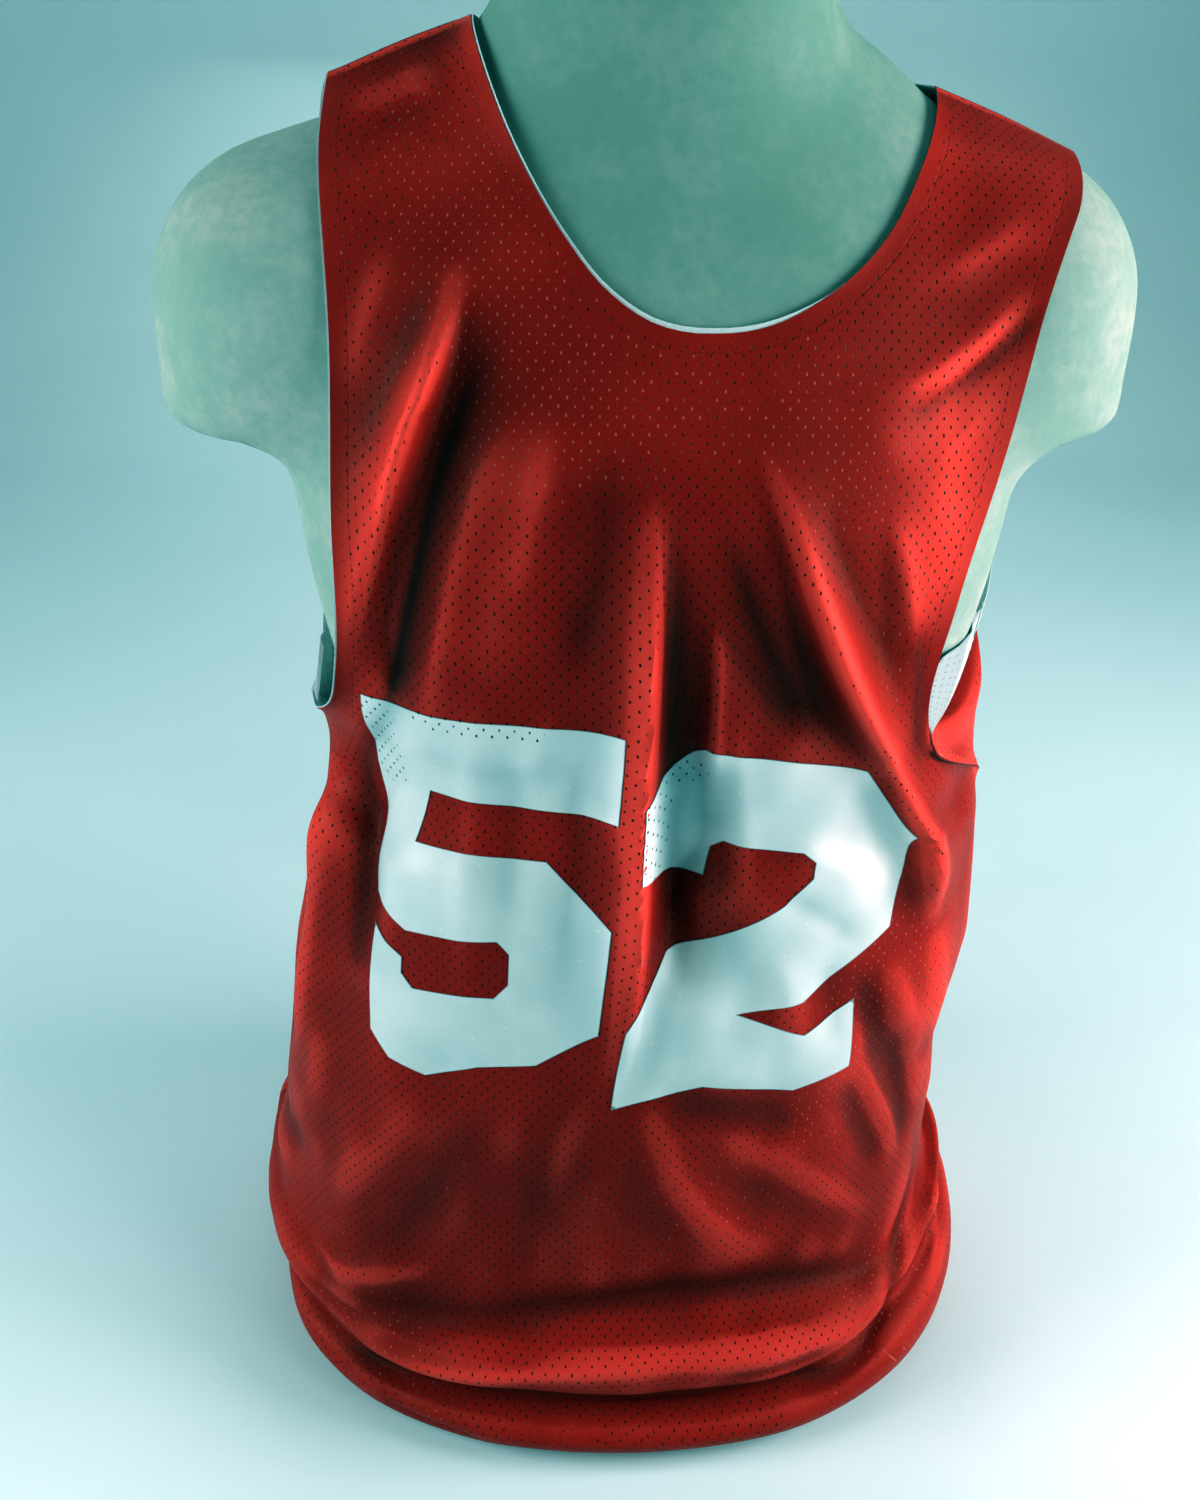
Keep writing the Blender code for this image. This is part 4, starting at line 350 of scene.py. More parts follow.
# Painted shade and painted highlight along the folds, laid into the cloth's colour: minus is painted shade in a deep
# fold, plus a painted highlight on a ridge. Columns as for the folds.
PAINTED_SHADE_AND_LIGHT = [
    ("front", -1.0, 0.45, 0.95, (0.25, 0.25), 0, (-7.6, 67.3), (-9.1, 64.0), (-10.6, 60.0), (-11.8, 55.6), (-13.0, 50.4), (-13.9, 46.2), (-14.9, 42.0)),
    ("front", -0.5, 0.5, 1.0, (0.3, 0.3), 0, (-14.0, 47.0), (-15.2, 42.0), (-15.9, 36.0), (-16.6, 30.0), (-17.0, 25.0)),
    ("front", 0.75, 1.0, 0.45, (0.3, 0.3), 0, (-9.6, 69.3), (-10.9, 65.6), (-12.4, 62.0), (-13.6, 58.6), (-15.0, 54.4), (-15.9, 50.5), (-16.5, 46.5)),
    ("front", -0.45, 0.5, 0.6, (0.3, 0.3), 0, (-10.6, 68.3), (-12.3, 64.8), (-13.9, 61.6), (-15.0, 58.6)),
    ("front", 0.35, 0.6, 0.6, (0.3, 0.3), 0, (-12.8, 69.6), (-14.2, 66.0), (-15.4, 62.0)),
    ("front", 0.3, 1.0, 1.4, (0.3, 0.3), 0, (-5.8, 63.4), (-7.4, 58.0), (-8.6, 52.0), (-9.4, 47.6)),
    ("front", -0.35, 1.2, 1.2, (0.3, 0.3), 0, (-2.6, 62.0), (-3.4, 55.0), (-4.4, 48.5)),
    ("front", -0.85, 0.5, 1.0, (0.3, 0.3), 0, (0.1, 57.5), (0.3, 53.0), (0.5, 47.7), (0.8, 41.0), (1.0, 35.0)),
    ("front", 0.5, 0.5, 0.35, (0.3, 0.3), 0, (-0.7, 59.0), (-0.8, 53.0), (-0.9, 46.0), (-1.0, 38.0), (-1.3, 30.0)),
    ("front", -0.7, 1.3, 1.6, (0.3, 0.3), 0, (1.4, 45.2), (2.2, 42.0), (3.6, 39.8)),
    ("front", -0.75, 0.9, 0.7, (0.35, 0.3), 0, (2.4, 58.4), (3.2, 56.0), (4.6, 52.4), (6.4, 48.6), (8.6, 45.0)),
    ("front", -0.5, 0.8, 0.6, (0.3, 0.3), 0, (5.6, 54.6), (7.4, 50.2), (9.6, 46.4), (11.8, 42.6)),
    ("front", 0.7, 0.35, 0.8, (0.35, 0.25), 0, (4.4, 61.4), (5.3, 59.0), (6.6, 56.2), (8.0, 52.8), (10.2, 48.0), (12.4, 43.8), (14.4, 39.0), (15.7, 34.8)),
    ("front", 0.85, 2.0, 2.6, (0.3, 0.3), 0, (13.6, 67.0), (13.8, 61.0), (14.6, 55.0), (15.6, 49.0)),
    ("front", 0.4, 0.8, 1.1, (0.3, 0.3), 0, (10.9, 58.4), (12.2, 54.6), (13.2, 50.0)),
    ("front", -0.5, 0.35, 0.5, (0.3, 0.3), 0, (12.6, 53.0), (13.3, 49.2), (13.7, 45.6), (14.7, 41.5)),
    ("front", -0.6, 0.3, 0.5, (0.25, 0.35), 0, (18.6, 66.8), (17.8, 65.9), (15.2, 63.8), (12.4, 62.2), (10.8, 61.6)),
    ("front", 0.5, 0.5, 0.7, (0.3, 0.3), 0, (18.2, 67.8), (15.4, 65.1), (12.4, 63.5), (9.5, 62.8)),
    ("front", 0.35, 0.7, 0.8, (0.3, 0.3), 0, (18.4, 70.6), (15.0, 68.7), (11.0, 67.0)),
    ("front", -0.5, 1.0, 1.2, (0.2, 0.2), 0, (9.6, 76.6), (13.4, 76.3), (17.6, 75.0)),
    ("front", -0.55, 0.8, 0.8, (0.2, 0.2), 0, (-16.4, 76.6), (-12.4, 77.0), (-9.0, 77.6)),
    ("front", -0.4, 0.7, 1.2, (0.15, 0.15), 0, (-21.0, 6.8), (-15.9, 7.6), (-10.0, 8.4), (-3.4, 9.8), (3.0, 10.3), (9.0, 10.0), (15.2, 9.0)),
    ("front", -0.7, 0.3, 0.3, (0.1, 0.2), 0, (-19.6, 3.2), (-14.1, 3.5), (-7.8, 3.5), (2.0, 3.6), (8.8, 3.7), (13.6, 3.9), (15.9, 5.4)),
    ("front", -0.4, 0.3, 0.3, (0.3, 0.3), 0, (16.2, 7.4), (17.0, 9.6), (17.9, 12.0), (18.2, 15.0)),
    ("front", 0.25, 0.8, 0.8, (0.2, 0.25), 0, (-17.0, 5.4), (-10.0, 6.1), (-3.0, 7.2), (4.0, 7.6), (10.0, 7.4)),
    ("front", 0.5, 1.9, 2.1, (0.3, 0.3), 0, (7.4, 39.6), (11.0, 37.8), (14.2, 35.0)),
    ("front", 0.5, 2.0, 1.8, (0.3, 0.3), 0, (5.4, 45.4), (9.0, 44.6), (12.5, 42.6)),
    ("front", -0.45, 1.7, 1.9, (0.3, 0.3), 0, (2.6, 40.0), (4.0, 35.6), (5.6, 30.0)),
    ("front", -0.3, 0.5, 0.7, (0.3, 0.3), 0, (11.4, 32.0), (12.6, 27.4), (14.0, 23.0)),
    ("front", -0.25, 0.5, 0.7, (0.25, 0.25), 0, (14.4, 28.0), (15.6, 21.5), (16.6, 15.0)),
    ("front", -0.14, 8.0, 9.0, (0.1, 0.1), 0, (-22.0, 13.0), (-10.0, 15.0), (2.0, 16.0), (12.0, 14.5), (20.0, 12.5)),
    ("front", -0.2, 2.2, 2.0, (0.35, 0.35), 0, (-0.5, 24.8), (4.0, 23.0), (9.0, 21.0)),
    ("front", -0.2, 2.4, 2.4, (0.3, 0.3), 0, (-8.6, 24.0), (-11.6, 17.4), (-15.6, 11.4)),
    ("front", -0.2, 1.8, 1.8, (0.3, 0.3), 0, (-3.6, 26.0), (-5.2, 19.0), (-6.6, 12.0)),
    ("front", 0.2, 1.1, 1.1, (0.3, 0.3), 0, (0.4, 23.0), (2.4, 17.6), (7.0, 13.4)),
]

# Numerals on the flat cut: corners, across from the middle and down from the shoulder (cm)
NUMBERS = {
    "number_5": [(-15.9, 35.8), (-2.0, 35.9), (-2.1, 41.3), (-12.6, 41.4), (-13.4, 44.6), (-5.6, 44.2), (-2.1, 47.4),
                 (-2.3, 54.4), (-5.6, 56.9), (-9.0, 57.6), (-12.2, 58.9), (-14.6, 58.4), (-16.0, 57.0), (-16.3, 50.5),
                 (-15.0, 51.2), (-13.8, 51.7), (-13.8, 52.7), (-13.0, 53.4), (-8.1, 52.9), (-7.3, 51.9), (-7.3, 50.0),
                 (-8.0, 49.3), (-13.6, 50.0), (-16.5, 48.7), (-16.7, 41.0)],
    "number_2": [(-0.9, 39.9), (2.4, 37.0), (11.4, 38.6), (14.8, 43.0), (14.2, 48.9), (8.9, 52.6), (5.3, 53.2),
                 (9.3, 54.9), (12.4, 53.2), (12.6, 57.8), (9.3, 59.0), (3.8, 58.0), (-1.3, 59.5), (-1.0, 53.9),
                 (1.2, 49.4), (7.5, 46.5), (9.0, 45.0), (9.0, 44.0), (8.2, 43.3), (3.9, 42.7), (3.3, 43.2), (3.0, 44.8),
                 (-0.9, 44.6)],
}
# where the print is open over the knit's holes, on the flat cut: across, down, radius across and down, value
OPEN = [(-15.6, 38.6, 1.5, 3.4, 1.0), (-9.0, 36.0, 4.0, 0.9, 0.9), (-0.2, 41.5, 1.1, 3.4, 0.9), (1.4, 38.6, 1.6, 0.9, 0.8)]
# where the white layer shows in the holes: x, z, radius across and up, value
SEE = [(-9.0, 70.0, 5.0, 8.0, 0.9), (-6.0, 62.0, 5.0, 5.0, 0.6), (4.0, 62.5, 6.0, 3.0, 0.55), (9.0, 60.0, 4.0, 4.0, 0.45),
       (12.0, 50.0, 3.0, 6.0, 0.5), (12.0, 26.0, 5.0, 7.0, 0.8), (4.0, 17.0, 6.0, 4.0, 0.5), (16.0, 6.0, 6.0, 5.0, 0.8),
       (-16.0, 5.0, 6.0, 4.0, 0.6), (-12.0, 18.0, 6.0, 6.0, 0.3), (18.0, 34.0, 4.0, 6.0, 0.5)]
PROUD = {"neck": (0.10, 0.16), "arm": 0.10}

# the back's edge turned out at the foot of the armholes: side, height up its own edge and up the front's, reach towards the front's edge
TURNED = [(1, 12.2, 4.6, 0.97), (-1, 5.5, 3.2, 0.95)]

# sky: colour and strength at the horizon and overhead
HORIZON, OVERHEAD = (0.012, 0.012, 0.012), (0.10, 0.04, 0.03)
FLOOR = (0.62, 0.72, 0.75)
# name, place, aim, size, power, colour
LIGHTS = [
    ("key", (1.58, -0.34, 0.96), (0.0, 0.0, 0.52), (0.9, 0.8), 38.0, (1.0, 0.985, 0.97)),
    ("key_front", (1.2, -1.15, 0.78), (0.0, 0.0, 0.50), (0.6, 0.8), 12.0, (1.0, 1.0, 1.0)),
    ("fill", (-1.58, -0.38, 0.94), (0.0, 0.0, 0.52), (0.9, 0.8), 28.0, (0.97, 1.0, 1.0)),
    ("fill_front", (-1.2, -1.25, 0.76), (0.0, 0.0, 0.48), (0.8, 0.8), 5.0, (1.0, 1.0, 1.0)),
    ("high", (0.3, 0.6, 2.2), (0.0, 0.6, 0.0), (1.6, 1.6), 10.0, (1.0, 1.0, 1.0)),
    ("high_front", (0.0, -1.5, 1.9), (0.0, -0.5, 0.0), (1.2, 1.0), 2.0, (1.0, 1.0, 1.0)),
    ("behind", (0.0, 2.2, 1.0), (0.0, 0.0, 0.45), (1.2, 0.8), 9.0, (1.0, 1.0, 1.0)),
]
# how strongly the picture's red, and its green and blue, fall off in shade
CONTRAST = (2.0, 1.2, 1.2)
# base grid: columns from an armhole to the middle, rows of a strap, of the chest, of the sections below
BASE = {"columns": 12, "strap": 8, "chest": 8, "below": 36}


def base_panel(side, settle=220):
    """The outer face of one panel before its folds: left strap, right strap and body, each a grid of
    points as worn (cm) and of places on the flat cut (cm across from the middle, cm down)."""
    nA, nU, nM, nL = BASE["columns"], BASE["strap"], BASE["chest"], BASE["below"]
    sign = {"front": 1, "back": -1}[side]
    if side == "front":
        first = dict(arm=ARM_FRONT_LEFT, neck=NECK_FRONT_LEFT, split=SPLIT["front_left"])
        last = dict(arm=ARM_FRONT_RIGHT, neck=NECK_FRONT_RIGHT, split=SPLIT["front_right"])
    else:
        first = dict(arm=ARM_BACK_RIGHT, neck=NECK_BACK_RIGHT, split=SPLIT["back_right"])
        last = dict(arm=ARM_BACK_LEFT, neck=NECK_BACK_LEFT, split=SPLIT["back_left"])
    flat = FLAT[side]
    mirror = lambda pts: [(-a, b) for a, b in pts]

    def strap(edge, flat_arm, flat_neck):
        arm = line_through(edge["arm"], nU, 0, edge["split"])
        neck = line_through(edge["neck"], nU)
        middle = 0.5*(np.array(edge["arm"][0]) + np.array(edge["neck"][0])) + (0, 0, 0.10)
        top = line_through([edge["arm"][0], tuple(middle), edge["neck"][0]], nA)
        dip = 0.5*(arm[-1] + neck[-1]) + np.array([0, -0.8*sign, -0.9])
        low = line_through([tuple(arm[-1]), tuple(dip), tuple(neck[-1])], nA)
        fa = line_through(flat_arm, nU, 0, edge["split"])
        fn = line_through(flat_neck, nU)
        ft = line_through([flat_arm[0], flat_neck[0]], nA)
        fl = line_through([tuple(fa[-1]), tuple(fn[-1])], nA)
        return coons(top, low, arm, neck), coons(ft, fl, fa, fn)

    P1, F1 = strap(first, mirror(flat["arm"]), mirror(flat["neck"]))
    P2, F2 = strap(last, flat["arm"], flat["neck"])
    P2, F2 = P2[:, ::-1], F2[:, ::-1]
    # the body below the chest: rows on the sections, columns even between the seams and the middle
    ns = len(SECTIONS) - 1
    rows = ns*np.linspace(0, 1, nL + 1)
    level = np.array([section_point(r, 0.0)[2] for r in rows])
    names = (1, 2, 3) if side == "front" else (3, 4, 1)
    a0, am, a1 = [np.radians(smooth_rows(SEAMS, level, k)) for k in names]
    if side == "back":
        a1 = a1 + 2*np.pi

    def even(start, end):
        th = start[:, None] + (end - start)[:, None]*np.linspace(0, 1, 60)[None]
        p = section_point(np.repeat(rows[:, None], 60, 1), th)
        step = np.linalg.norm(np.diff(p, axis=1), axis=2)
        run = np.concatenate([np.zeros((len(rows), 1)), np.cumsum(step, axis=1)], 1)
        return np.stack([np.interp(np.linspace(0, q[-1], nA + 1), q, t) for q, t in zip(run, th)])

    turn = np.concatenate([even(a0, am), even(am, a1)[:, 1:]], 1)
    low = section_point(np.repeat(rows[:, None], 2*nA + 1, 1), turn)
    armL = line_through(first["arm"], nM, first["split"], 1)
    armR = line_through(last["arm"], nM, last["split"], 1)
    # the first section starts and ends on the armholes' lowest points
    w = np.linspace(0, 1, 2*nA + 1)
    fade = np.clip(1 - rows/2.0, 0, 1)[:, None]**2
    low = low + fade[..., None]*((1 - w)[None, :, None]**3*(armL[-1] - low[0, 0])
                                 + (w**3)[None, :, None]*(armR[-1] - low[0, -1]))
    mid = coons(np.concatenate([P1[-1], P2[-1, 1:]]), low[0], armL, armR)
    fL = line_through(mirror(flat["arm"]), nM, first["split"], 1)
    fR = line_through(flat["arm"], nM, last["split"], 1)
    half, arm_t = flat["arm"][-1]
    frow = np.stack([np.linspace(-half, half, 2*nA + 1), np.full(2*nA + 1, arm_t)], 1)
    midF = coons(np.concatenate([F1[-1], F2[-1, 1:]]), frow, fL, fR)
    down = np.concatenate([[0], np.cumsum(np.linalg.norm(np.diff(low, axis=0), axis=2).mean(1))])
    lowF = np.stack([np.repeat(frow[None, :, 0], nL + 1, 0), arm_t + np.repeat(down[:, None], 2*nA + 1, 1)], -1)
    # number the points, the strap's lowest row being the body's first
    V, F = [], []

    def add(P, Q):
        n = len(V)
        V.extend(P)
        F.extend(Q)
        return n + np.arange(len(P))

    idL = np.stack([add(P1[r], F1[r]) for r in range(nU + 1)])
    idR = np.zeros((nU + 1, nA + 1), int)
    for r in range(nU):
        idR[r] = add(P2[r], F2[r])
    idR[nU, 1:] = add(P2[nU, 1:], F2[nU, 1:])
    idR[nU, 0] = idL[nU, nA]
    body = [np.concatenate([idL[nU], idR[nU, 1:]])]
    for r in range(1, nM + 1):
        body.append(add(mid[r], midF[r]))
    for r in range(1, nL + 1):
        body.append(add(low[r], lowF[r]))
    body = np.stack(body)
    V, F = np.array(V), np.array(F)
    blocks = (idL, idR, body)
    Q = np.concatenate([quads_of(b) for b in blocks])
    # the edges and the lower sections stay, the rest settles to an even sheet that the form holds up
    fixed = np.zeros(len(V), bool)
    for line in (idL[:, 0], idL[:, -1], idL[0], idR[:, 0], idR[:, -1], idR[0], body[:, 0], body[:, -1], body[-1]):
        fixed[line] = True
    keep = max(2, int(round(nL*2.2/ns)))
    fixed[body[nM + keep:].ravel()] = True
    E = edges_of(Q)
    near = 1/(np.linalg.norm(V[E[:, 0]] - V[E[:, 1]], axis=1)**2 + 0.3)
    even_pull = np.ones(len(E))
    for k in range(settle):
        V[~fixed] = neighbour_mean(V, E, near)[~fixed]
        F[~fixed] = neighbour_mean(F, E, even_pull)[~fixed]
        if k % 4 == 3 or k == settle - 1:
            g = form_gap(V)
            lay = (g < REST) & (V[:, 2] > 30)
            V[lay] += (REST - g[lay])[:, None]*form_normal(V[lay])
            r = np.hypot(V[:, 0] - FORM_LEAN, V[:, 1])
            short = np.where(fixed, 0, hang_reach(V) - r)
            V[:, 0] += np.maximum(short, 0)*(V[:, 0] - FORM_LEAN)/r
            V[:, 1] += np.maximum(short, 0)*V[:, 1]/r
    F = true_lengths(V, F, Q)
    return [(V[b], F[b]) for b in blocks]


def true_lengths(V, F, Q, passes=900):
    """The flat cut let out until its lengths agree with the cloth as worn, then set back where it was."""
    E = np.concatenate([edges_of(Q), Q[:, [0, 2]], Q[:, [1, 3]]])
    a, b = E[:, 0], E[:, 1]
    L = np.linalg.norm(V[a] - V[b], axis=1)
    count = np.bincount(np.concatenate([a, b]), minlength=len(V))
    X, last = F.copy(), F.copy()
    for _ in range(passes):
        d = X[a] - X[b]
        n = np.maximum(np.linalg.norm(d, axis=1), 1e-9)
        move = (0.5*(L - n)/n)[:, None]*d
        step = np.stack([np.bincount(a, move[:, k], len(V)) - np.bincount(b, move[:, k], len(V)) for k in (0, 1)], 1)
        X, last = X + 1.3*step/count[:, None] + 0.85*(X - last), X
    P, R = X - X.mean(0), F - F.mean(0)
    turn = math.atan2((P[:, 0]*R[:, 1] - P[:, 1]*R[:, 0]).sum(), (P*R).sum())
    c, s = math.cos(turn), math.sin(turn)
    return P @ np.array([[c, s], [-s, c]]) + F.mean(0)


def hang_reach(p):
    """How far out the cloth hangs below the chest, in each point's direction (0 elsewhere)."""
    x, y, z = p[:, 0] - FORM_LEAN, p[:, 1], p[:, 2]
    a, f, b = (smooth_rows(HANG, z, k) for k in (1, 2, 3))
    reach = oval_reach(np.arctan2(x, -y), a, a, f, b, 2.35)
    ease = np.clip((z - HANG[0][0] + 0.5)/7.0, 0, 1)            # the sections take over below
    give = 0.2 + 1.6*np.maximum(np.clip((2 - x)/10, 0, 1), np.clip((y - 3)/6, 0, 1))
    reach = reach - give*(1 - ease*ease*(3 - 2*ease))
    return np.where((z > HANG[0][0] - 0.5) & (z < HANG[-1][0]), reach, 0)


def quads_of(block):
    return np.stack([block[:-1, :-1], block[1:, :-1], block[1:, 1:], block[:-1, 1:]], -1).reshape(-1, 4)


def edges_of(Q):
    E = np.concatenate([Q[:, [0, 1]], Q[:, [1, 2]], Q[:, [2, 3]], Q[:, [3, 0]]])
    return np.unique(np.sort(E, 1), axis=0)


def neighbour_mean(X, E, weight):
    """Each point's mean of its neighbours, each edge pulling with its weight."""
    S, total = np.zeros_like(X), np.zeros(len(X))
    for a, b in ((0, 1), (1, 0)):
        np.add.at(S, E[:, a], weight[:, None]*X[E[:, b]])
        np.add.at(total, E[:, a], weight)
    return S/total[:, None]


def resample(grid, rows, cols):
    """A grid read at fractional rows and columns, cubic along each."""
    def along(G, at):
        n = len(G) - 1
        at = np.clip(at, 0, n)
        i = np.clip(at.astype(int), 0, n - 1)
        t = (at - i)[:, None, None]
        m = np.gradient(G, axis=0, edge_order=2 if n > 1 else 1)
        return ((2*t**3 - 3*t**2 + 1)*G[i] + (t**3 - 2*t**2 + t)*m[i]
                + (-2*t**3 + 3*t**2)*G[i + 1] + (t**3 - t**2)*m[i + 1])
    G = along(np.asarray(grid), np.asarray(rows, float))
    return along(G.transpose(1, 0, 2), np.asarray(cols, float)).transpose(1, 0, 2)


def row_places(body, first, count):
    """Fractional rows of the body grid from row `first` down, closer together where the cloth turns
    and where the seam runs round the body."""
    P = body[first:, len(body[0])//2]
    seg = np.diff(P, axis=0)
    length = np.maximum(np.linalg.norm(seg, axis=1), 0.8*np.linalg.norm(np.diff(body[first:, -1], axis=0), axis=1))
    d = seg/np.maximum(length[:, None], 1e-9)
    bend = np.concatenate([[0], np.arccos(np.clip((d[1:]*d[:-1]).sum(1), -1, 1))])
    cost = np.concatenate([[0], np.cumsum(length/2.6 + bend/math.radians(27))])
    return first + np.interp(np.linspace(0, cost[-1], count + 1), cost, np.arange(len(cost)))


class Cloth:
    """Front and back panels on one set of points, with their seams."""

    def __init__(self, sizes):
        """sizes: side -> (columns, strap rows, chest rows); rows below come from sizes['below']."""
        nM0, nU0, nA0 = BASE["chest"], BASE["strap"], BASE["columns"]
        self.panels, V, F, seam = {}, [], [], []
        count = 0
        grids = {side: base_panel(side) for side in ("front", "back")}
        low_rows = row_places(grids["front"][2][0], nM0, sizes["below"])
        for side in ("front", "back"):
            nA, nU, nM = sizes[side]
            (PL, FL), (PR, FR), (PB, FB) = grids[side]
            strap_rows = np.linspace(0, nU0, nU + 1)
            cols = np.linspace(0, nA0, nA + 1)
            body_rows = np.concatenate([np.linspace(0, nM0, nM + 1), low_rows[1:]])
            body_cols = np.linspace(0, 2*nA0, 2*nA + 1)
            parts = [[resample(A, strap_rows, cols), resample(B, strap_rows, cols)] for A, B in ((PL, FL), (PR, FR))]
            body = [resample(PB, body_rows, body_cols), resample(FB, body_rows, body_cols)]
            ids = []
            def number(P, Q):
                nonlocal count
                shape = P.shape[:2]
                V.extend(P.reshape(-1, 3))
                F.extend(Q.reshape(-1, 2))
                out = count + np.arange(shape[0]*shape[1]).reshape(shape)
                count += shape[0]*shape[1]
                return out
            idB = number(*body)
            top = idB[0]
            idL = np.vstack([number(parts[0][0][:-1], parts[0][1][:-1]), top[None, :nA + 1]])
            idR = np.vstack([number(parts[1][0][:-1], parts[1][1][:-1]), top[None, nA:]])
            self.panels[side] = dict(left=idL, right=idR, body=idB, chest=nM,
                                     quads=np.concatenate([quads_of(b) for b in (idL, idR, idB)]))
        self.V, self.F = np.array(V), np.array(F)
        f, b = self.panels["front"], self.panels["back"]
        # side seams: front's first column with the back's last, front's last with the back's first
        for fc, bc in ((0, -1), (-1, 0)):
            seam.append(np.stack([f["body"][f["chest"]:, fc], b["body"][b["chest"]:, bc]], 1))
        self.seam = np.concatenate(seam)
        self.shoulders = {side: np.concatenate([p["left"][0], p["right"][0]]) for side, p in self.panels.items()}
        self.V[self.seam[:, 1]] = self.V[self.seam[:, 0]]

    def normals(self):
        N = np.zeros_like(self.V)
        for p in self.panels.values():
            q = p["quads"]
            d1 = self.V[q[:, 2]] - self.V[q[:, 0]]
            d2 = self.V[q[:, 3]] - self.V[q[:, 1]]
            n = np.cross(d1, d2)
            for k in range(4):
                np.add.at(N, q[:, k], n)
        one, other = N[self.seam[:, 0]], N[self.seam[:, 1]]        # along a seam, halfway between its two panels
        both = (one/np.maximum(np.linalg.norm(one, axis=1, keepdims=True), 1e-12)
                + other/np.maximum(np.linalg.norm(other, axis=1, keepdims=True), 1e-12))
        N[self.seam[:, 0]] = both
        N[self.seam[:, 1]] = both
        # at the shoulder seams both panels share the direction square to the seam line
        for line in self.shoulders.values():
            for half in np.array_split(line, 2):
                t = self.V[half[-1]] - self.V[half[0]]
                t = t/np.linalg.norm(t)
                up = np.array([0, 0.12, 1.0])
                up = up - (up @ t)*t
                N[half] = up/np.linalg.norm(up)*np.linalg.norm(N[half], axis=1, keepdims=True)
        return N/np.maximum(np.linalg.norm(N, axis=1, keepdims=True), 1e-12)

    def seam_shift(self, gap):
        """Half the seam gap, for each point, towards its own panel."""
        S = np.zeros_like(self.V)
        N = self.normals()
        f, b = self.panels["front"], self.panels["back"]
        for p, first in ((f, True), (b, True)):
            for c, n in ((0, 1), (-1, -2)):
                line, inner = p["body"][p["chest"]:, c], p["body"][p["chest"]:, n]
                d = self.V[inner] - self.V[line]
                along = np.gradient(self.V[line], axis=0)
                along /= np.maximum(np.linalg.norm(along, axis=1, keepdims=True), 1e-9)
                side = np.cross(along, N[line])
                side /= np.maximum(np.linalg.norm(side, axis=1, keepdims=True), 1e-9)
                side *= np.sign((side*d).sum(1))[:, None]
                S[line] = side*gap/2
        for a, c in self.seam:                       # the two panels part in opposite directions
            mean = 0.5*(S[a] - S[c])
            S[a], S[c] = mean, -mean
        for side, way in (("front", -1), ("back", 1)):
            S[self.shoulders[side]] = (0, way*gap/2, 0)
        return S


# columns from arm edge to middle, rows of the strap, rows of the chest; rows below the armholes
GRID = {"front": (64, 30, 44), "back": (54, 26, 40), "below": 190}


def folded(V, N, rows, samples=72):
    """How far a table of folds moves each point (cm): along its normal, and sideways where a fold leans."""
    axes = {"front": (0, -1, 0), "back": (0, 1, 0), "left": (-1, 0, 0), "right": (1, 0, 0)}
    total = np.zeros_like(V)
    for face, lift, wl, wr, (start, stop), lean, *path in rows:
        facing = np.clip((N @ np.array(axes[face], float) + 0.05)/0.45, 0, 1)
        facing = facing*facing*(3 - 2*facing)
        c = 0 if face in ("front", "back") else 1
        xy = np.array(path, float)
        reach = 3.4*max(wl, wr)
        lo, hi = xy.min(0) - reach, xy.max(0) + reach
        on = (facing > 0) & (V[:, c] > lo[0]) & (V[:, c] < hi[0]) & (V[:, 2] > lo[1]) & (V[:, 2] < hi[1])
        if not on.any():
            continue
        line = line_through([tuple(p) + (0.0,) for p in xy], samples)[:, :2]
        P = np.stack([V[on, c], V[on, 2]], 1)
        a, ab = line[:-1], np.diff(line, axis=0)
        L2 = (ab**2).sum(1)
        best = np.full(len(P), 1e9)
        where, side = np.zeros(len(P)), np.zeros(len(P))
        for k in range(len(a)):
            d = P - a[k]
            h = np.clip((d @ ab[k])/L2[k], 0, 1)
            r = ((d - h[:, None]*ab[k])**2).sum(1)
            new = r < best
            best[new] = r[new]
            where[new] = (k + h[new])/len(a)
            side[new] = np.sign(ab[k, 0]*d[new, 1] - ab[k, 1]*d[new, 0])
        w = np.where(side > 0, wr, wl)
        e = np.clip(np.minimum(where/start, (1 - where)/stop), 0, 1)
        e = facing[on]*e*e*(3 - 2*e)*np.exp(-(np.sqrt(best)/w)**1.4)
        total[on] += (lift*e)[:, None]*N[on]
        if lean:
            across = np.zeros(3); across[c] = 1
            total[on] += (lean*e)[:, None]*(across - (N[on] @ across)[:, None]*N[on])
    return total


def waves(F, seed, size, stretch, count=26):
    """Smooth uneven ripples over the flat cut: sums of long waves in many directions."""
    rng = np.random.RandomState(seed)
    out = np.zeros(len(F))
    for _ in range(count):
        a = rng.uniform(0, math.pi)
        k = 2*math.pi/(size*rng.uniform(0.7, 1.6))
        out += rng.uniform(0.4, 1)*np.sin(k*(F[:, 0]*math.cos(a)/stretch[0] + F[:, 1]*math.sin(a)/stretch[1]) + rng.uniform(0, 7))
    return out/math.sqrt(count)*1.2


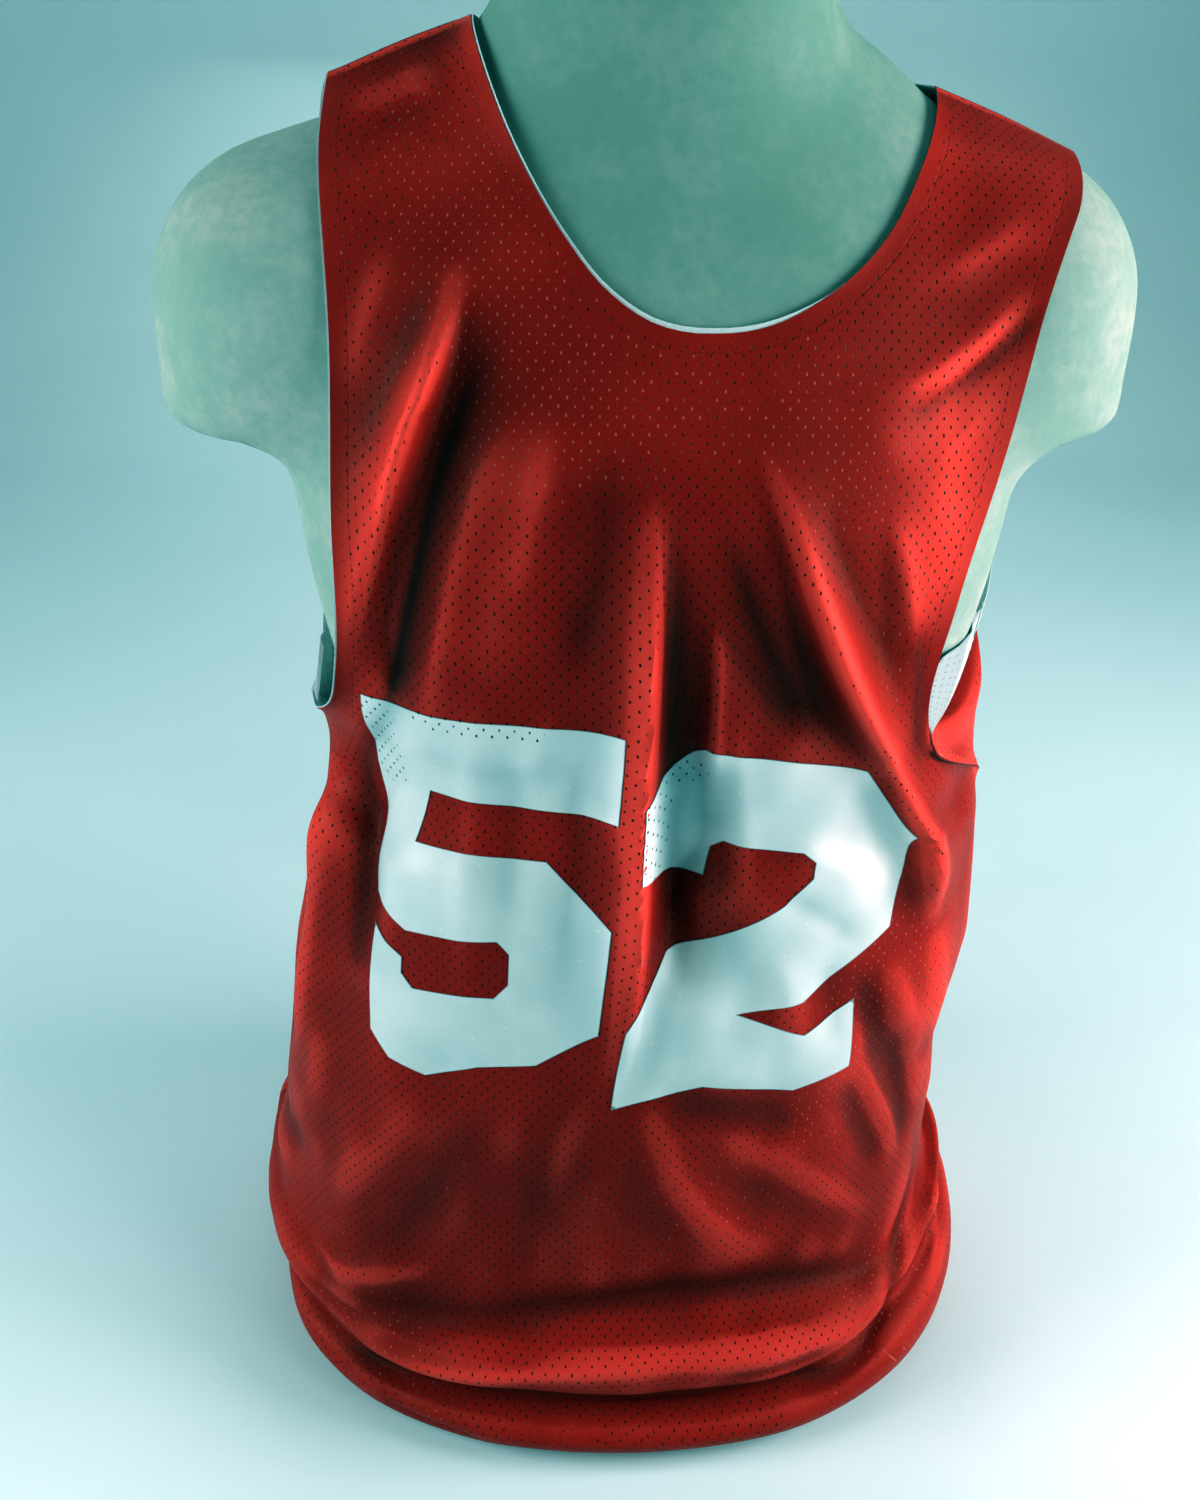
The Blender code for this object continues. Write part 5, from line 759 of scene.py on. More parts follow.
def smoothed(cloth, D, passes, amount=0.5):
    """A value on the points, evened out over the panels' grids."""
    for _ in range(passes):
        S, n = np.zeros_like(D), np.zeros(len(D))
        for p in cloth.panels.values():
            for block in (p["left"], p["right"], p["body"]):
                for a, b in ((block[1:], block[:-1]), (block[:, 1:], block[:, :-1])):
                    a, b = a.ravel(), b.ravel()
                    np.add.at(S, a, D[b]); np.add.at(n, a, 1)
                    np.add.at(S, b, D[a]); np.add.at(n, b, 1)
        m = (1 - amount)*D + amount*S/(n if D.ndim == 1 else n[:, None])
        pair = 0.5*(m[cloth.seam[:, 0]] + m[cloth.seam[:, 1]])
        m[cloth.seam[:, 0]] = m[cloth.seam[:, 1]] = pair
        D = m
    return D


def clear_of_form(cloth, inner, passes=10):
    """Push points out until the innermost face, `inner` below the outer, clears the form."""
    for _ in range(passes):
        N = cloth.normals()
        short = CLEAR - form_gap(cloth.V - inner*N)
        short = np.where(cloth.V[:, 2] > 20, short, 0)
        move = short > 1e-4
        if not move.any():
            break
        cloth.V[move] += short[move][:, None]*form_normal(cloth.V[move])
        cloth.V[cloth.seam[:, 1]] = cloth.V[cloth.seam[:, 0]]


def place(points):
    """Centimetres in the tables' frame to metres about the footprint's middle."""
    return (np.asarray(points, float) - (CENTRE[0], CENTRE[1], 0))*CM


def shell(name, outer, inner, quads, mat, uv=None, values=None):
    """A closed thin wall: two sheets on the same points, and a rim round their edges."""
    used = np.unique(quads)
    number = np.full(used.max() + 1, -1)
    number[used] = np.arange(len(used))
    n = len(used)
    Q = number[quads]
    E = np.concatenate([Q[:, [k, (k + 1) % 4]] for k in range(4)])
    key, back = E[:, 0].astype(np.int64)*n + E[:, 1], E[:, 1].astype(np.int64)*n + E[:, 0]
    rim = E[~np.isin(key, back)]
    faces = np.concatenate([Q, Q[:, ::-1] + n, np.stack([rim[:, 1], rim[:, 0], rim[:, 0] + n, rim[:, 1] + n], 1)])
    mesh = bpy.data.meshes.new(name)
    mesh.from_pydata(np.concatenate([place(outer[used]), place(inner[used])]).tolist(), [], faces.tolist())
    if uv is not None:
        layer = mesh.uv_layers.new(name="cut")
        both = np.concatenate([uv[used], uv[used]])
        layer.data.foreach_set("uv", both[faces.ravel()].astype(np.float32).ravel())
    for key, value in (values or {}).items():
        a = mesh.attributes.new(key, "FLOAT", "POINT")
        a.data.foreach_set("value", np.concatenate([value[used], value[used]]).astype(np.float32))
    mesh.update()
    mesh.shade_smooth()
    mesh.set_sharp_from_angle(angle=math.radians(60))
    mesh.materials.append(mat)
    obj = bpy.data.objects.new(name, mesh)
    bpy.context.scene.collection.objects.link(obj)
    return obj


class FlatMap:
    """Finds the place on the front panel, as worn, of a point on its flat cut."""

    def __init__(self, F, quads):
        tri = np.concatenate([quads[:, [0, 1, 2]], quads[:, [0, 2, 3]]])
        self.tri, self.F = tri, F
        self.A, self.B, self.C = (F[tri[:, k]] for k in range(3))
        self.det = ((self.B[:, 0] - self.A[:, 0])*(self.C[:, 1] - self.A[:, 1])
                    - (self.B[:, 1] - self.A[:, 1])*(self.C[:, 0] - self.A[:, 0]))
        lo = np.floor(np.minimum(np.minimum(self.A, self.B), self.C)).astype(int)
        hi = np.floor(np.maximum(np.maximum(self.A, self.B), self.C)).astype(int)
        self.cells = {}
        for k in range(len(tri)):
            for i in range(lo[k, 0], hi[k, 0] + 1):
                for j in range(lo[k, 1], hi[k, 1] + 1):
                    self.cells.setdefault((i, j), []).append(k)
        self.cells = {c: np.array(v) for c, v in self.cells.items()}

    def find(self, x, y):
        k = self.cells[(int(math.floor(x)), int(math.floor(y)))]
        A, B, C, det = self.A[k], self.B[k], self.C[k], self.det[k]
        b = ((x - A[:, 0])*(C[:, 1] - A[:, 1]) - (y - A[:, 1])*(C[:, 0] - A[:, 0]))/det
        c = ((B[:, 0] - A[:, 0])*(y - A[:, 1]) - (B[:, 1] - A[:, 1])*(x - A[:, 0]))/det
        i = np.argmax(np.minimum(np.minimum(b, c), 1 - b - c))
        return self.tri[k[i]], np.array([1 - b[i] - c[i], b[i], c[i]])


def numeral(name, corners, cloth, V, N, lookup, mat, step=0.30):
    """A thin pressed numeral: a fine net inside its outline on the flat cut, laid on the panel as worn."""
    c = np.array(corners, float)
    ring = []
    for a, b in zip(c, np.roll(c, -1, axis=0)):
        n = max(1, int(round(np.linalg.norm(b - a)/step)))
        ring += [tuple(a + (b - a)*k/n) for k in range(n)]
    ring = np.array(ring)
    lo, hi = c.min(0), c.max(0)
    gx, gy = np.meshgrid(np.arange(lo[0], hi[0], step), np.arange(lo[1], hi[1], step*0.87))
    gx = gx + (np.arange(gx.shape[0]) % 2)[:, None]*step/2
    pts = np.stack([gx.ravel(), gy.ravel()], 1)
    # inside the outline, and not too near it
    x, y = pts[:, 0], pts[:, 1]
    inside = np.zeros(len(pts), bool)
    nearest = np.full(len(pts), 1e9)
    for a, b in zip(c, np.roll(c, -1, axis=0)):
        cross = ((a[1] > y) != (b[1] > y)) & (x < (b[0] - a[0])*(y - a[1])/(b[1] - a[1] + 1e-12) + a[0])
        inside ^= cross
        ab = b - a
        h = np.clip(((pts - a) @ ab)/(ab @ ab), 0, 1)
        nearest = np.minimum(nearest, np.linalg.norm(pts - a - h[:, None]*ab, axis=1))
    pts = pts[inside & (nearest > 0.45*step)]
    every = np.concatenate([ring, pts])
    area = 0.5*np.sum(ring[:, 0]*np.roll(ring[:, 1], -1) - np.roll(ring[:, 0], -1)*ring[:, 1])
    order = list(range(len(ring)))
    if area < 0:
        order.reverse()
    out = delaunay_2d_cdt([Vector(p) for p in every], [], [order], 1, 1e-5)
    flat = np.array([tuple(v) for v in out[0]])
    tris = [tuple(f) for f in out[2]]
    top, low = [], []
    for px, py in flat:
        ids, w = lookup.find(px, py)
        spot, up = w @ V[ids], w @ N[ids]
        up = up/np.linalg.norm(up)
        top.append(spot + NUMBER_LIFT[1]*up)
        low.append(spot + NUMBER_LIFT[0]*up)
    n = len(flat)
    def turned(f):                      # t runs down, so a face that turns one way on the cut turns the other way as worn
        a, b, d = (flat[i] for i in f)
        return (b[0] - a[0])*(d[1] - a[1]) - (b[1] - a[1])*(d[0] - a[0]) > 0
    tris = [f[::-1] if turned(f) else f for f in tris]
    edge = {(f[k], f[(k + 1) % 3]) for f in tris for k in range(3)}
    rim = [(a, b) for a, b in sorted(edge) if (b, a) not in edge]
    faces = tris + [tuple(i + n for i in reversed(f)) for f in tris] + [(b, a, a + n, b + n) for a, b in rim]
    mesh = bpy.data.meshes.new(name)
    mesh.from_pydata(place(np.array(top + low)).tolist(), [], faces)
    layer = mesh.uv_layers.new(name="cut")
    both = np.concatenate([flat, flat]).astype(np.float32)
    index = np.zeros(len(mesh.loops), int)
    mesh.loops.foreach_get("vertex_index", index)
    layer.data.foreach_set("uv", both[index].ravel())
    mesh.update()
    mesh.shade_smooth()
    mesh.set_sharp_from_angle(angle=math.radians(50))
    mesh.materials.append(mat)
    obj = bpy.data.objects.new(name, mesh)
    bpy.context.scene.collection.objects.link(obj)
    return obj, flat


# ------------------------------------------------------------------- materials

class Graph:
    """A material's nodes, written as expressions."""

    def __init__(self, name):
        self.material = bpy.data.materials.new(name)
        self.material.use_nodes = True
        self.tree = self.material.node_tree
        self.shader = self.tree.nodes["Principled BSDF"]

    def put(self, node, key, value):
        if isinstance(value, bpy.types.NodeSocket):
            self.tree.links.new(value, node.inputs[key])
        elif value is not None:
            node.inputs[key].default_value = value

    def math(self, op, a, b=None, c=None, clamp=False):
        n = self.tree.nodes.new("ShaderNodeMath")
        n.operation, n.use_clamp = op, clamp
        for k, v in enumerate((a, b, c)):
            self.put(n, k, v)
        return n.outputs[0]

    def ramp(self, value, low, high, to_low=0.0, to_high=1.0, kind="SMOOTHSTEP"):
        n = self.tree.nodes.new("ShaderNodeMapRange")
        n.interpolation_type = kind
        for k, v in (("Value", value), ("From Min", low), ("From Max", high), ("To Min", to_low), ("To Max", to_high)):
            self.put(n, k, v)
        return n.outputs[0]

    def mix(self, fac, a, b, kind="MIX"):
        n = self.tree.nodes.new("ShaderNodeMix")
        n.data_type, n.blend_type = "RGBA", kind
        self.put(n, 0, fac)
        self.put(n, 6, a if isinstance(a, bpy.types.NodeSocket) else (*a, 1))
        self.put(n, 7, b if isinstance(b, bpy.types.NodeSocket) else (*b, 1))
        return n.outputs[2]

    def noise(self, vector, scale, detail=3.0, rough=0.55, kind="3D"):
        n = self.tree.nodes.new("ShaderNodeTexNoise")
        n.noise_dimensions = kind
        self.put(n, "Vector", vector)
        n.inputs["Scale"].default_value = scale
        n.inputs["Detail"].default_value = detail
        n.inputs["Roughness"].default_value = rough
        return n.outputs[0]

    def cut(self):
        n = self.tree.nodes.new("ShaderNodeUVMap")
        n.uv_map = "cut"
        return n.outputs[0]

    def where(self):
        return self.tree.nodes.new("ShaderNodeTexCoord").outputs["Object"]

    def split(self, vector):
        n = self.tree.nodes.new("ShaderNodeSeparateXYZ")
        self.put(n, 0, vector)
        return n.outputs[0], n.outputs[1]

    def level(self, vector):
        n = self.tree.nodes.new("ShaderNodeSeparateXYZ")
        self.put(n, 0, vector)
        return n.outputs[2]

    def join(self, x, y, z=0.0):
        n = self.tree.nodes.new("ShaderNodeCombineXYZ")
        for k, v in enumerate((x, y, z)):
            self.put(n, k, v)
        return n.outputs[0]

    def cell_noise(self, vector):
        n = self.tree.nodes.new("ShaderNodeTexWhiteNoise")
        n.noise_dimensions = "3D"
        self.put(n, 0, vector)
        return n.outputs[0]

    def attribute(self, name):
        n = self.tree.nodes.new("ShaderNodeAttribute")
        n.attribute_name = name
        return n.outputs["Fac"]

    def bump(self, height, strength, distance, before=None):
        n = self.tree.nodes.new("ShaderNodeBump")
        n.inputs["Strength"].default_value = strength
        n.inputs["Distance"].default_value = distance
        self.put(n, "Height", height)
        self.put(n, "Normal", before)
        return n.outputs[0]

    def set(self, **values):
        for key, value in values.items():
            self.put(self.shader, key.replace("_", " "), value)


HOLE_PITCH = (0.76, 0.40)      # across and down, every other row set over by half


def holes(g, uv, rx=0.048, ry=0.085):
    """Mask of the knit's holes, and a random number for each."""
    x, y = g.split(uv)
    v = g.math("DIVIDE", y, HOLE_PITCH[1])
    row = g.math("FLOOR", v)
    odd = g.math("FLOORED_MODULO", row, 2.0)
    u = g.math("MULTIPLY_ADD", odd, 0.5, g.math("DIVIDE", x, HOLE_PITCH[0]))
    col = g.math("FLOOR", u)
    own = g.cell_noise(g.join(col, row, 1.0))
    du = g.math("MULTIPLY", g.math("SUBTRACT", g.math("FRACT", u), 0.5), HOLE_PITCH[0]/rx)
    dv = g.math("MULTIPLY", g.math("SUBTRACT", g.math("FRACT", v), 0.5), HOLE_PITCH[1]/ry)
    d = g.math("SQRT", g.math("ADD", g.math("MULTIPLY", du, du), g.math("MULTIPLY", dv, dv)))
    size = g.ramp(own, 0.0, 1.0, 0.8, 1.12, "LINEAR")
    return g.ramp(g.math("DIVIDE", d, size), 0.7, 1.2, 1.0, 0.0), own


def red_cloth(name):
    g = Graph(name)
    uv = g.cut()
    mask, own = holes(g, uv)
    see = g.attribute("see")
    edge = g.attribute("edge")
    inside = g.ramp(edge, 0.35, 0.8)                        # no holes show in the turned edge
    mask = g.math("MULTIPLY", g.math("MULTIPLY", mask, inside), g.ramp(g.attribute("uneven"), 0.35, 0.6, 1.0, 0.0))
    fine, broad = g.attribute("fine"), g.attribute("broad")
    soft = g.noise(uv, 0.09, 3)
    thread = g.noise(uv, 7.0, 4, 0.7)
    base = g.mix(g.ramp(soft, 0.35, 0.65), (0.325, 0.0092, 0.0068), (0.395, 0.0135, 0.0100))
    base = g.mix(g.ramp(thread, 0.35, 0.68, 0.0, 0.55), base, (0.235, 0.0055, 0.0042))
    # where the holes of both layers meet, a hole is painted dark, a painted shade of the inside seen through both;
    # elsewhere the white layer shows in it
    light = g.ramp(g.math("ADD", see, g.math("MULTIPLY", g.math("SUBTRACT", own, 0.5), 0.55)), 0.35, 0.65)
    hole = g.mix(light, (0.03, 0.002, 0.002), (0.52, 0.10, 0.08))
    colour = g.mix(g.math("MULTIPLY", mask, g.ramp(light, 0, 1, 0.85, 0.8)), base, hole)
    # painted shade in the folds' troughs and painted highlight on their ridges, from how deep each point lies in a fold
    # and from the painted strokes
    shade = g.math("MULTIPLY", g.ramp(broad, -1.9, 0.2, 0.42, 1.0), g.ramp(fine, -0.10, 0.03, 0.72, 1.0))
    painted_shade_and_light = g.attribute("painted_shade_and_light")
    shade = g.math("MULTIPLY", shade, g.ramp(painted_shade_and_light, -1.0, 0.0, 0.03, 1.0, "LINEAR"))
    # painted highlight on ridges and where the painted strokes are plus
    lit = g.math("ADD", g.ramp(broad, 0.1, 0.9, 0.0, 0.5), g.ramp(fine, 0.01, 0.08, 0.0, 0.25))
    lit = g.math("ADD", lit, g.ramp(painted_shade_and_light, 0.0, 1.0, 0.0, 0.8, "LINEAR"))
    colour = g.mix(g.math("SUBTRACT", 1.0, shade), colour, (0.02, 0.0016, 0.0016))
    colour = g.mix(g.math("MULTIPLY", lit, g.math("SUBTRACT", 1.0, mask)), colour, (0.72, 0.064, 0.050))
    # stitches of the seams and of the turned edge
    x, y = g.split(uv)
    stitch = g.math("PINGPONG", g.math("ADD", g.math("MULTIPLY", x, 3.2), g.math("MULTIPLY", y, 3.2)), 0.5)
    row = g.math("MULTIPLY", g.ramp(g.math("ABSOLUTE", g.math("SUBTRACT", edge, 0.9)), 0.0, 0.06, 1.0, 0.0),
                 g.ramp(stitch, 0.16, 0.3))
    colour = g.mix(g.math("MULTIPLY", row, 0.35), colour, (0.16, 0.004, 0.005))
    seam = g.attribute("seam")
    line = g.ramp(seam, 0.0, 0.12, 1.0, 0.0)
    colour = g.mix(g.math("MULTIPLY", line, 0.75), colour, (0.07, 0.003, 0.004))
    height = g.math("SUBTRACT", g.math("MULTIPLY", thread, 0.12), g.math("MULTIPLY", mask, 0.8))
    height = g.math("SUBTRACT", height, g.math("MULTIPLY", row, 0.5))
    height = g.math("SUBTRACT", height, g.math("MULTIPLY", line, 1.6))
    g.set(Base_Color=colour, Roughness=g.ramp(thread, 0.3, 0.7, 0.44, 0.6), Normal=g.bump(height, 0.7, 0.0006))
    g.set(Specular_IOR_Level=0.13, Sheen_Weight=0.05, Sheen_Roughness=0.35, Sheen_Tint=(1.0, 0.3, 0.2, 1), Specular_Tint=(1.0, 0.5, 0.38, 1))
    return g.material


def white_cloth(name):
    g = Graph(name)
    uv = g.cut()
    mask, own = holes(g, uv, 0.055, 0.095)
    edge = g.attribute("edge")
    mask = g.math("MULTIPLY", mask, g.ramp(edge, 0.15, 0.4))
    thread = g.noise(uv, 7.0, 4, 0.7)
    base = g.mix(g.ramp(thread, 0.3, 0.7), (0.60, 0.63, 0.64), (0.50, 0.54, 0.56))
    # on the turned strip (see at -1) the white is painted darker, a painted shade, and its lip near the edge paler, a
    # painted highlight
    base = g.mix(g.ramp(g.attribute("see"), -0.9, -0.5, 1.0, 0.0), base, (0.36, 0.37, 0.385))
    lip = g.math("MULTIPLY", g.ramp(g.attribute("see"), -0.9, -0.5, 1.0, 0.0), g.ramp(edge, 0.45, 0.7, 1.0, 0.0))
    base = g.mix(lip, base, (0.62, 0.64, 0.65))
    # a hole shows, at random, the red layer's colour or painted shade of the gap behind it
    hole = g.mix(g.ramp(own, 0.3, 0.7), (0.10, 0.07, 0.08), (0.42, 0.20, 0.20))
    colour = g.mix(g.math("MULTIPLY", mask, 0.8), base, hole)
    height = g.math("SUBTRACT", g.math("MULTIPLY", thread, 0.15), mask)
    g.set(Base_Color=colour, Roughness=0.6, Normal=g.bump(height, 0.7, 0.0005))
    g.set(Specular_IOR_Level=0.3, Sheen_Weight=0.15, Sheen_Roughness=0.5)
    return g.material


def printed(name):
    g = Graph(name)
    uv = g.cut()
    mask, own = holes(g, uv, 0.05, 0.085)
    opened = g.attribute("open")
    mask = g.math("MULTIPLY", mask, g.ramp(g.math("ADD", opened, g.math("MULTIPLY", g.math("SUBTRACT", own, 0.5), 0.3)), 0.4, 0.6))
    grain = g.noise(uv, 9.0, 3, 0.6)
    speck = g.noise(uv, 3.1, 2, 0.5)
    soft = g.noise(uv, 0.16, 2)
    base = g.mix(g.ramp(soft, 0.35, 0.65), (0.51, 0.545, 0.555), (0.57, 0.595, 0.60))
    base = g.mix(g.ramp(grain, 0.52, 0.75, 0.0, 0.35), base, (0.38, 0.43, 0.445))
    base = g.mix(g.ramp(speck, 0.67, 0.72, 0.0, 0.5), base, (0.68, 0.70, 0.70))
    # painted shade in the folds' troughs and where the painted strokes are minus, painted highlight on ridges and where
    # they are plus
    broad, fine = g.attribute("broad"), g.attribute("fine")
    shade = g.math("MULTIPLY", g.ramp(broad, -0.9, 0.05, 0.70, 1.0), g.ramp(fine, -0.06, 0.02, 0.85, 1.0))
    base = g.mix(g.math("SUBTRACT", 1.0, shade), base, (0.10, 0.13, 0.135))
    painted_shade_and_light = g.attribute("painted_shade_and_light")
    base = g.mix(g.ramp(painted_shade_and_light, -1.0, 0.0, 0.85, 0.0, "LINEAR"), base, (0.18, 0.24, 0.25))
    base = g.mix(g.math("ADD", g.ramp(broad, 0.02, 0.7, 0.0, 0.30), g.ramp(painted_shade_and_light, 0.0, 0.8, 0.0, 0.9, "LINEAR")), base, (0.90, 0.90, 0.90))
    # where the print is open its holes are painted dark, a painted shade of the inside seen through them
    colour = g.mix(mask, base, (0.016, 0.012, 0.016))
    # a thin painted shadow line along the print's edge
    edge = g.attribute("edge")
    colour = g.mix(g.ramp(edge, 0.0, 0.05, 0.75, 0.0), colour, (0.10, 0.07, 0.10))
    height = g.math("SUBTRACT", g.math("MULTIPLY", grain, 0.18), g.math("MULTIPLY", mask, 1.2))
    g.set(Base_Color=colour, Roughness=g.ramp(grain, 0.3, 0.7, 0.38, 0.5), Normal=g.bump(height, 0.6, 0.0005))
    g.set(Specular_IOR_Level=0.45)
    return g.material


def form_shell(name):
    g = Graph(name)
    at = g.where()
    cloud = g.noise(at, 14.0, 5, 0.7)
    fine = g.noise(at, 160.0, 3, 0.6)
    scuff = g.noise(at, 45.0, 5, 0.7)
    base = g.mix(g.ramp(cloud, 0.38, 0.64), (0.315, 0.36, 0.315), (0.42, 0.42, 0.385))
    base = g.mix(g.ramp(fine, 0.35, 0.7, 0.0, 0.5), base, (0.29, 0.33, 0.29))
    base = g.mix(g.ramp(scuff, 0.6, 0.8, 0.0, 0.25), base, (0.28, 0.32, 0.28))
    # painted shade on the neck: the form darker above the shoulders near the middle
    painted_neck_shade = g.math("MULTIPLY", g.ramp(g.level(at), 0.60, 0.70, 0.0, 1.0), g.ramp(g.math("ABSOLUTE", g.split(at)[0]), 0.09, 0.17, 1.0, 0.0))
    base = g.mix(g.math("MULTIPLY", painted_neck_shade, 0.42), base, (0.10, 0.17, 0.12))
    height = g.math("ADD", g.math("MULTIPLY", fine, 0.3), g.math("MULTIPLY", scuff, 0.5))
    g.set(Base_Color=base, Roughness=g.ramp(scuff, 0.3, 0.7, 0.72, 0.85), Normal=g.bump(height, 0.35, 0.0008))
    g.set(Specular_IOR_Level=0.15)
    return g.material


def plain(name, colour, rough):
    g = Graph(name)
    at = g.where()
    g.set(Base_Color=g.mix(g.ramp(g.noise(at, 2.0, 3), 0.3, 0.7), colour, tuple(0.96*c for c in colour)), Roughness=rough)
    return g.material


# ------------------------------------------------------------------- the cloth

def blobs(rows, V):
    """A value on the front from a table of soft spots: x, z, radius across, radius up, value."""
    total = np.zeros(len(V))
    for x, z, a, b, value in rows:
        total += value*np.exp(-((V[:, 0] - x)/a)**2 - ((V[:, 2] - z)/b)**2)
    return total


def distance_to(points, lines):
    best = np.full(len(points), 1e9)
    for line in lines:
        a, ab = line[:-1], np.diff(line, axis=0)
        for k in range(len(a)):
            h = np.clip(((points - a[k]) @ ab[k])/max(ab[k] @ ab[k], 1e-12), 0, 1)
            best = np.minimum(best, np.linalg.norm(points - a[k] - h[:, None]*ab[k], axis=1))
    return best


def make_cloth():
    cloth = Cloth(GRID)
    N = cloth.normals()
    move = folded(cloth.V, N, FOLDS)
    for side in ("front", "back"):                          # folds flatten towards the armholes' edges
        used = np.unique(cloth.panels[side]["quads"])
        near = distance_to(cloth.F[used], edge_lines(cloth, side)[0])
        ease = np.clip(near/5.0, 0, 1)
        move[used] *= (0.2 + 0.8*ease*ease*(3 - 2*ease))[:, None]
    is_back = np.zeros(len(cloth.V), bool)
    is_back[np.unique(cloth.panels["back"]["quads"])] = True
    ripple = waves(cloth.F + (200*is_back)[:, None], 5, 9.0, (1.0, 2.6))
    small = waves(cloth.F + (200*is_back)[:, None], 8, 3.6, (1.0, 1.8))
    # ripples die away where the cloth lies on the form, and in the rolls
    hang = np.clip((form_gap(cloth.V) - 0.6)/2.0, 0, 1)
    low = np.clip((cloth.V[:, 2] - 2.0)/6.0, 0.25, 1)
    pair = cloth.seam
    rip = low*hang*(0.20*ripple + 0.06*small)
    rip[pair[:, 0]] = rip[pair[:, 1]] = 0.5*(rip[pair[:, 0]] + rip[pair[:, 1]])
    move += rip[:, None]*N
    # a trough ends where it meets the form
    deep = -(move*N).sum(1)
    room = np.maximum(form_gap(cloth.V) - REST - 0.02, 0)
    over = np.where((deep > room) & (cloth.V[:, 2] > 12), deep - room, 0)
    move += over[:, None]*N
    move = smoothed(cloth, move, 2)
    cloth.V += move
    cloth.V[:, 2] = np.maximum(cloth.V[:, 2], 0)
    cloth.V[cloth.seam[:, 1]] = cloth.V[cloth.seam[:, 0]]
    clear_of_form(cloth, LINING_DROP + LINING_WALL)
    return cloth


def hollows(cloth, N):
    """How deep each point lies in a fold, against its surroundings: minus in a trough, plus on a ridge (cm)."""
    near = smoothed(cloth, cloth.V, 8)
    wide = smoothed(cloth, near, 70)
    fine = ((cloth.V - near)*N).sum(1)
    broad = ((near - wide)*N).sum(1)
    return fine, broad


def unevenness(cloth):
    """How far the cloth on each point departs from the length it was cut to."""
    out = np.zeros(len(cloth.V))
    for p in cloth.panels.values():
        q = p["quads"]
        for i, j in ((0, 1), (1, 2), (2, 3), (3, 0)):
            a, b = q[:, i], q[:, j]
            r = np.abs(np.log(np.linalg.norm(cloth.V[a] - cloth.V[b], axis=1)/np.maximum(np.linalg.norm(cloth.F[a] - cloth.F[b], axis=1), 1e-6) + 1e-6))
            np.maximum.at(out, a, r)
            np.maximum.at(out, b, r)
    return out


def turned_edge(cloth, V, N, hand, up, front_up, reach):
    """A strip of the white layer from the back's arm edge towards the front's, at the foot of one armhole."""
    lines = {}
    for side in ("front", "back"):
        p = cloth.panels[side]
        ends = []
        for block, c in ((p["left"], 0), (p["right"], -1)):
            line = np.concatenate([block[:, c], p["body"][1:p["chest"] + 1, c]])[::-1]
            ends.append(line)
        line = max(ends, key=lambda l: hand*V[l[0], 0])
        P = V[line] - 0.10*N[line]
        far = np.concatenate([[0], np.cumsum(np.linalg.norm(np.diff(P, axis=0), axis=1))])
        lines[side] = (P, far)
    rows, cols = 40, 9
    out = []
    for u in np.linspace(0.01, 1, rows):
        at = {k: np.array([np.interp(u*{"back": up, "front": front_up}[k], far, P[:, c]) for c in range(3)])
              for k, (P, far) in lines.items()}
        w = reach*min(1, (1.03 - u)/0.12)
        for v in np.linspace(0, 1, cols):
            out.append(at["back"] + (at["front"] - at["back"])*w*v)
    P = np.array(out)
    bulge = np.tile(np.sin(np.linspace(0, 1, cols)*math.pi), rows)
    way = form_normal(P)
    P = P + 0.22*bulge[:, None]*way
    for _ in range(4):
        short = np.maximum(0.20 - form_gap(P), 0)
        P = P + short[:, None]*form_normal(P)
    grid = np.arange(rows*cols).reshape(rows, cols)
    Q = quads_of(grid)
    a, b, c = (P[Q[:, k]] for k in range(3))
    if (np.cross(b - a, c - b)*form_normal(a)).sum() < 0:
        Q = Q[:, ::-1]
    along, across = np.meshgrid(np.linspace(0, up, rows), np.linspace(0, 2.2, cols), indexing="ij")
    flat = np.stack([250 + 20*hand + across.ravel(), along.ravel()], 1)
    edge = across.ravel()
    return P, form_normal(P), Q, flat, edge


def edge_lines(cloth, side):
    """The flat cut's neck and arm edges, and its seams."""
    p, F = cloth.panels[side], cloth.F
    body = p["body"]
    arms = [F[np.concatenate([p["left"][:, 0], body[1:p["chest"] + 1, 0]])],
            F[np.concatenate([p["right"][:, -1], body[1:p["chest"] + 1, -1]])]]
    neck = [F[p["left"][:, -1]], F[p["right"][:, 0]]]
    seams = [F[body[p["chest"]:, 0]], F[body[p["chest"]:, -1]], F[p["left"][0]], F[p["right"][0]]]
    return arms, neck, seams


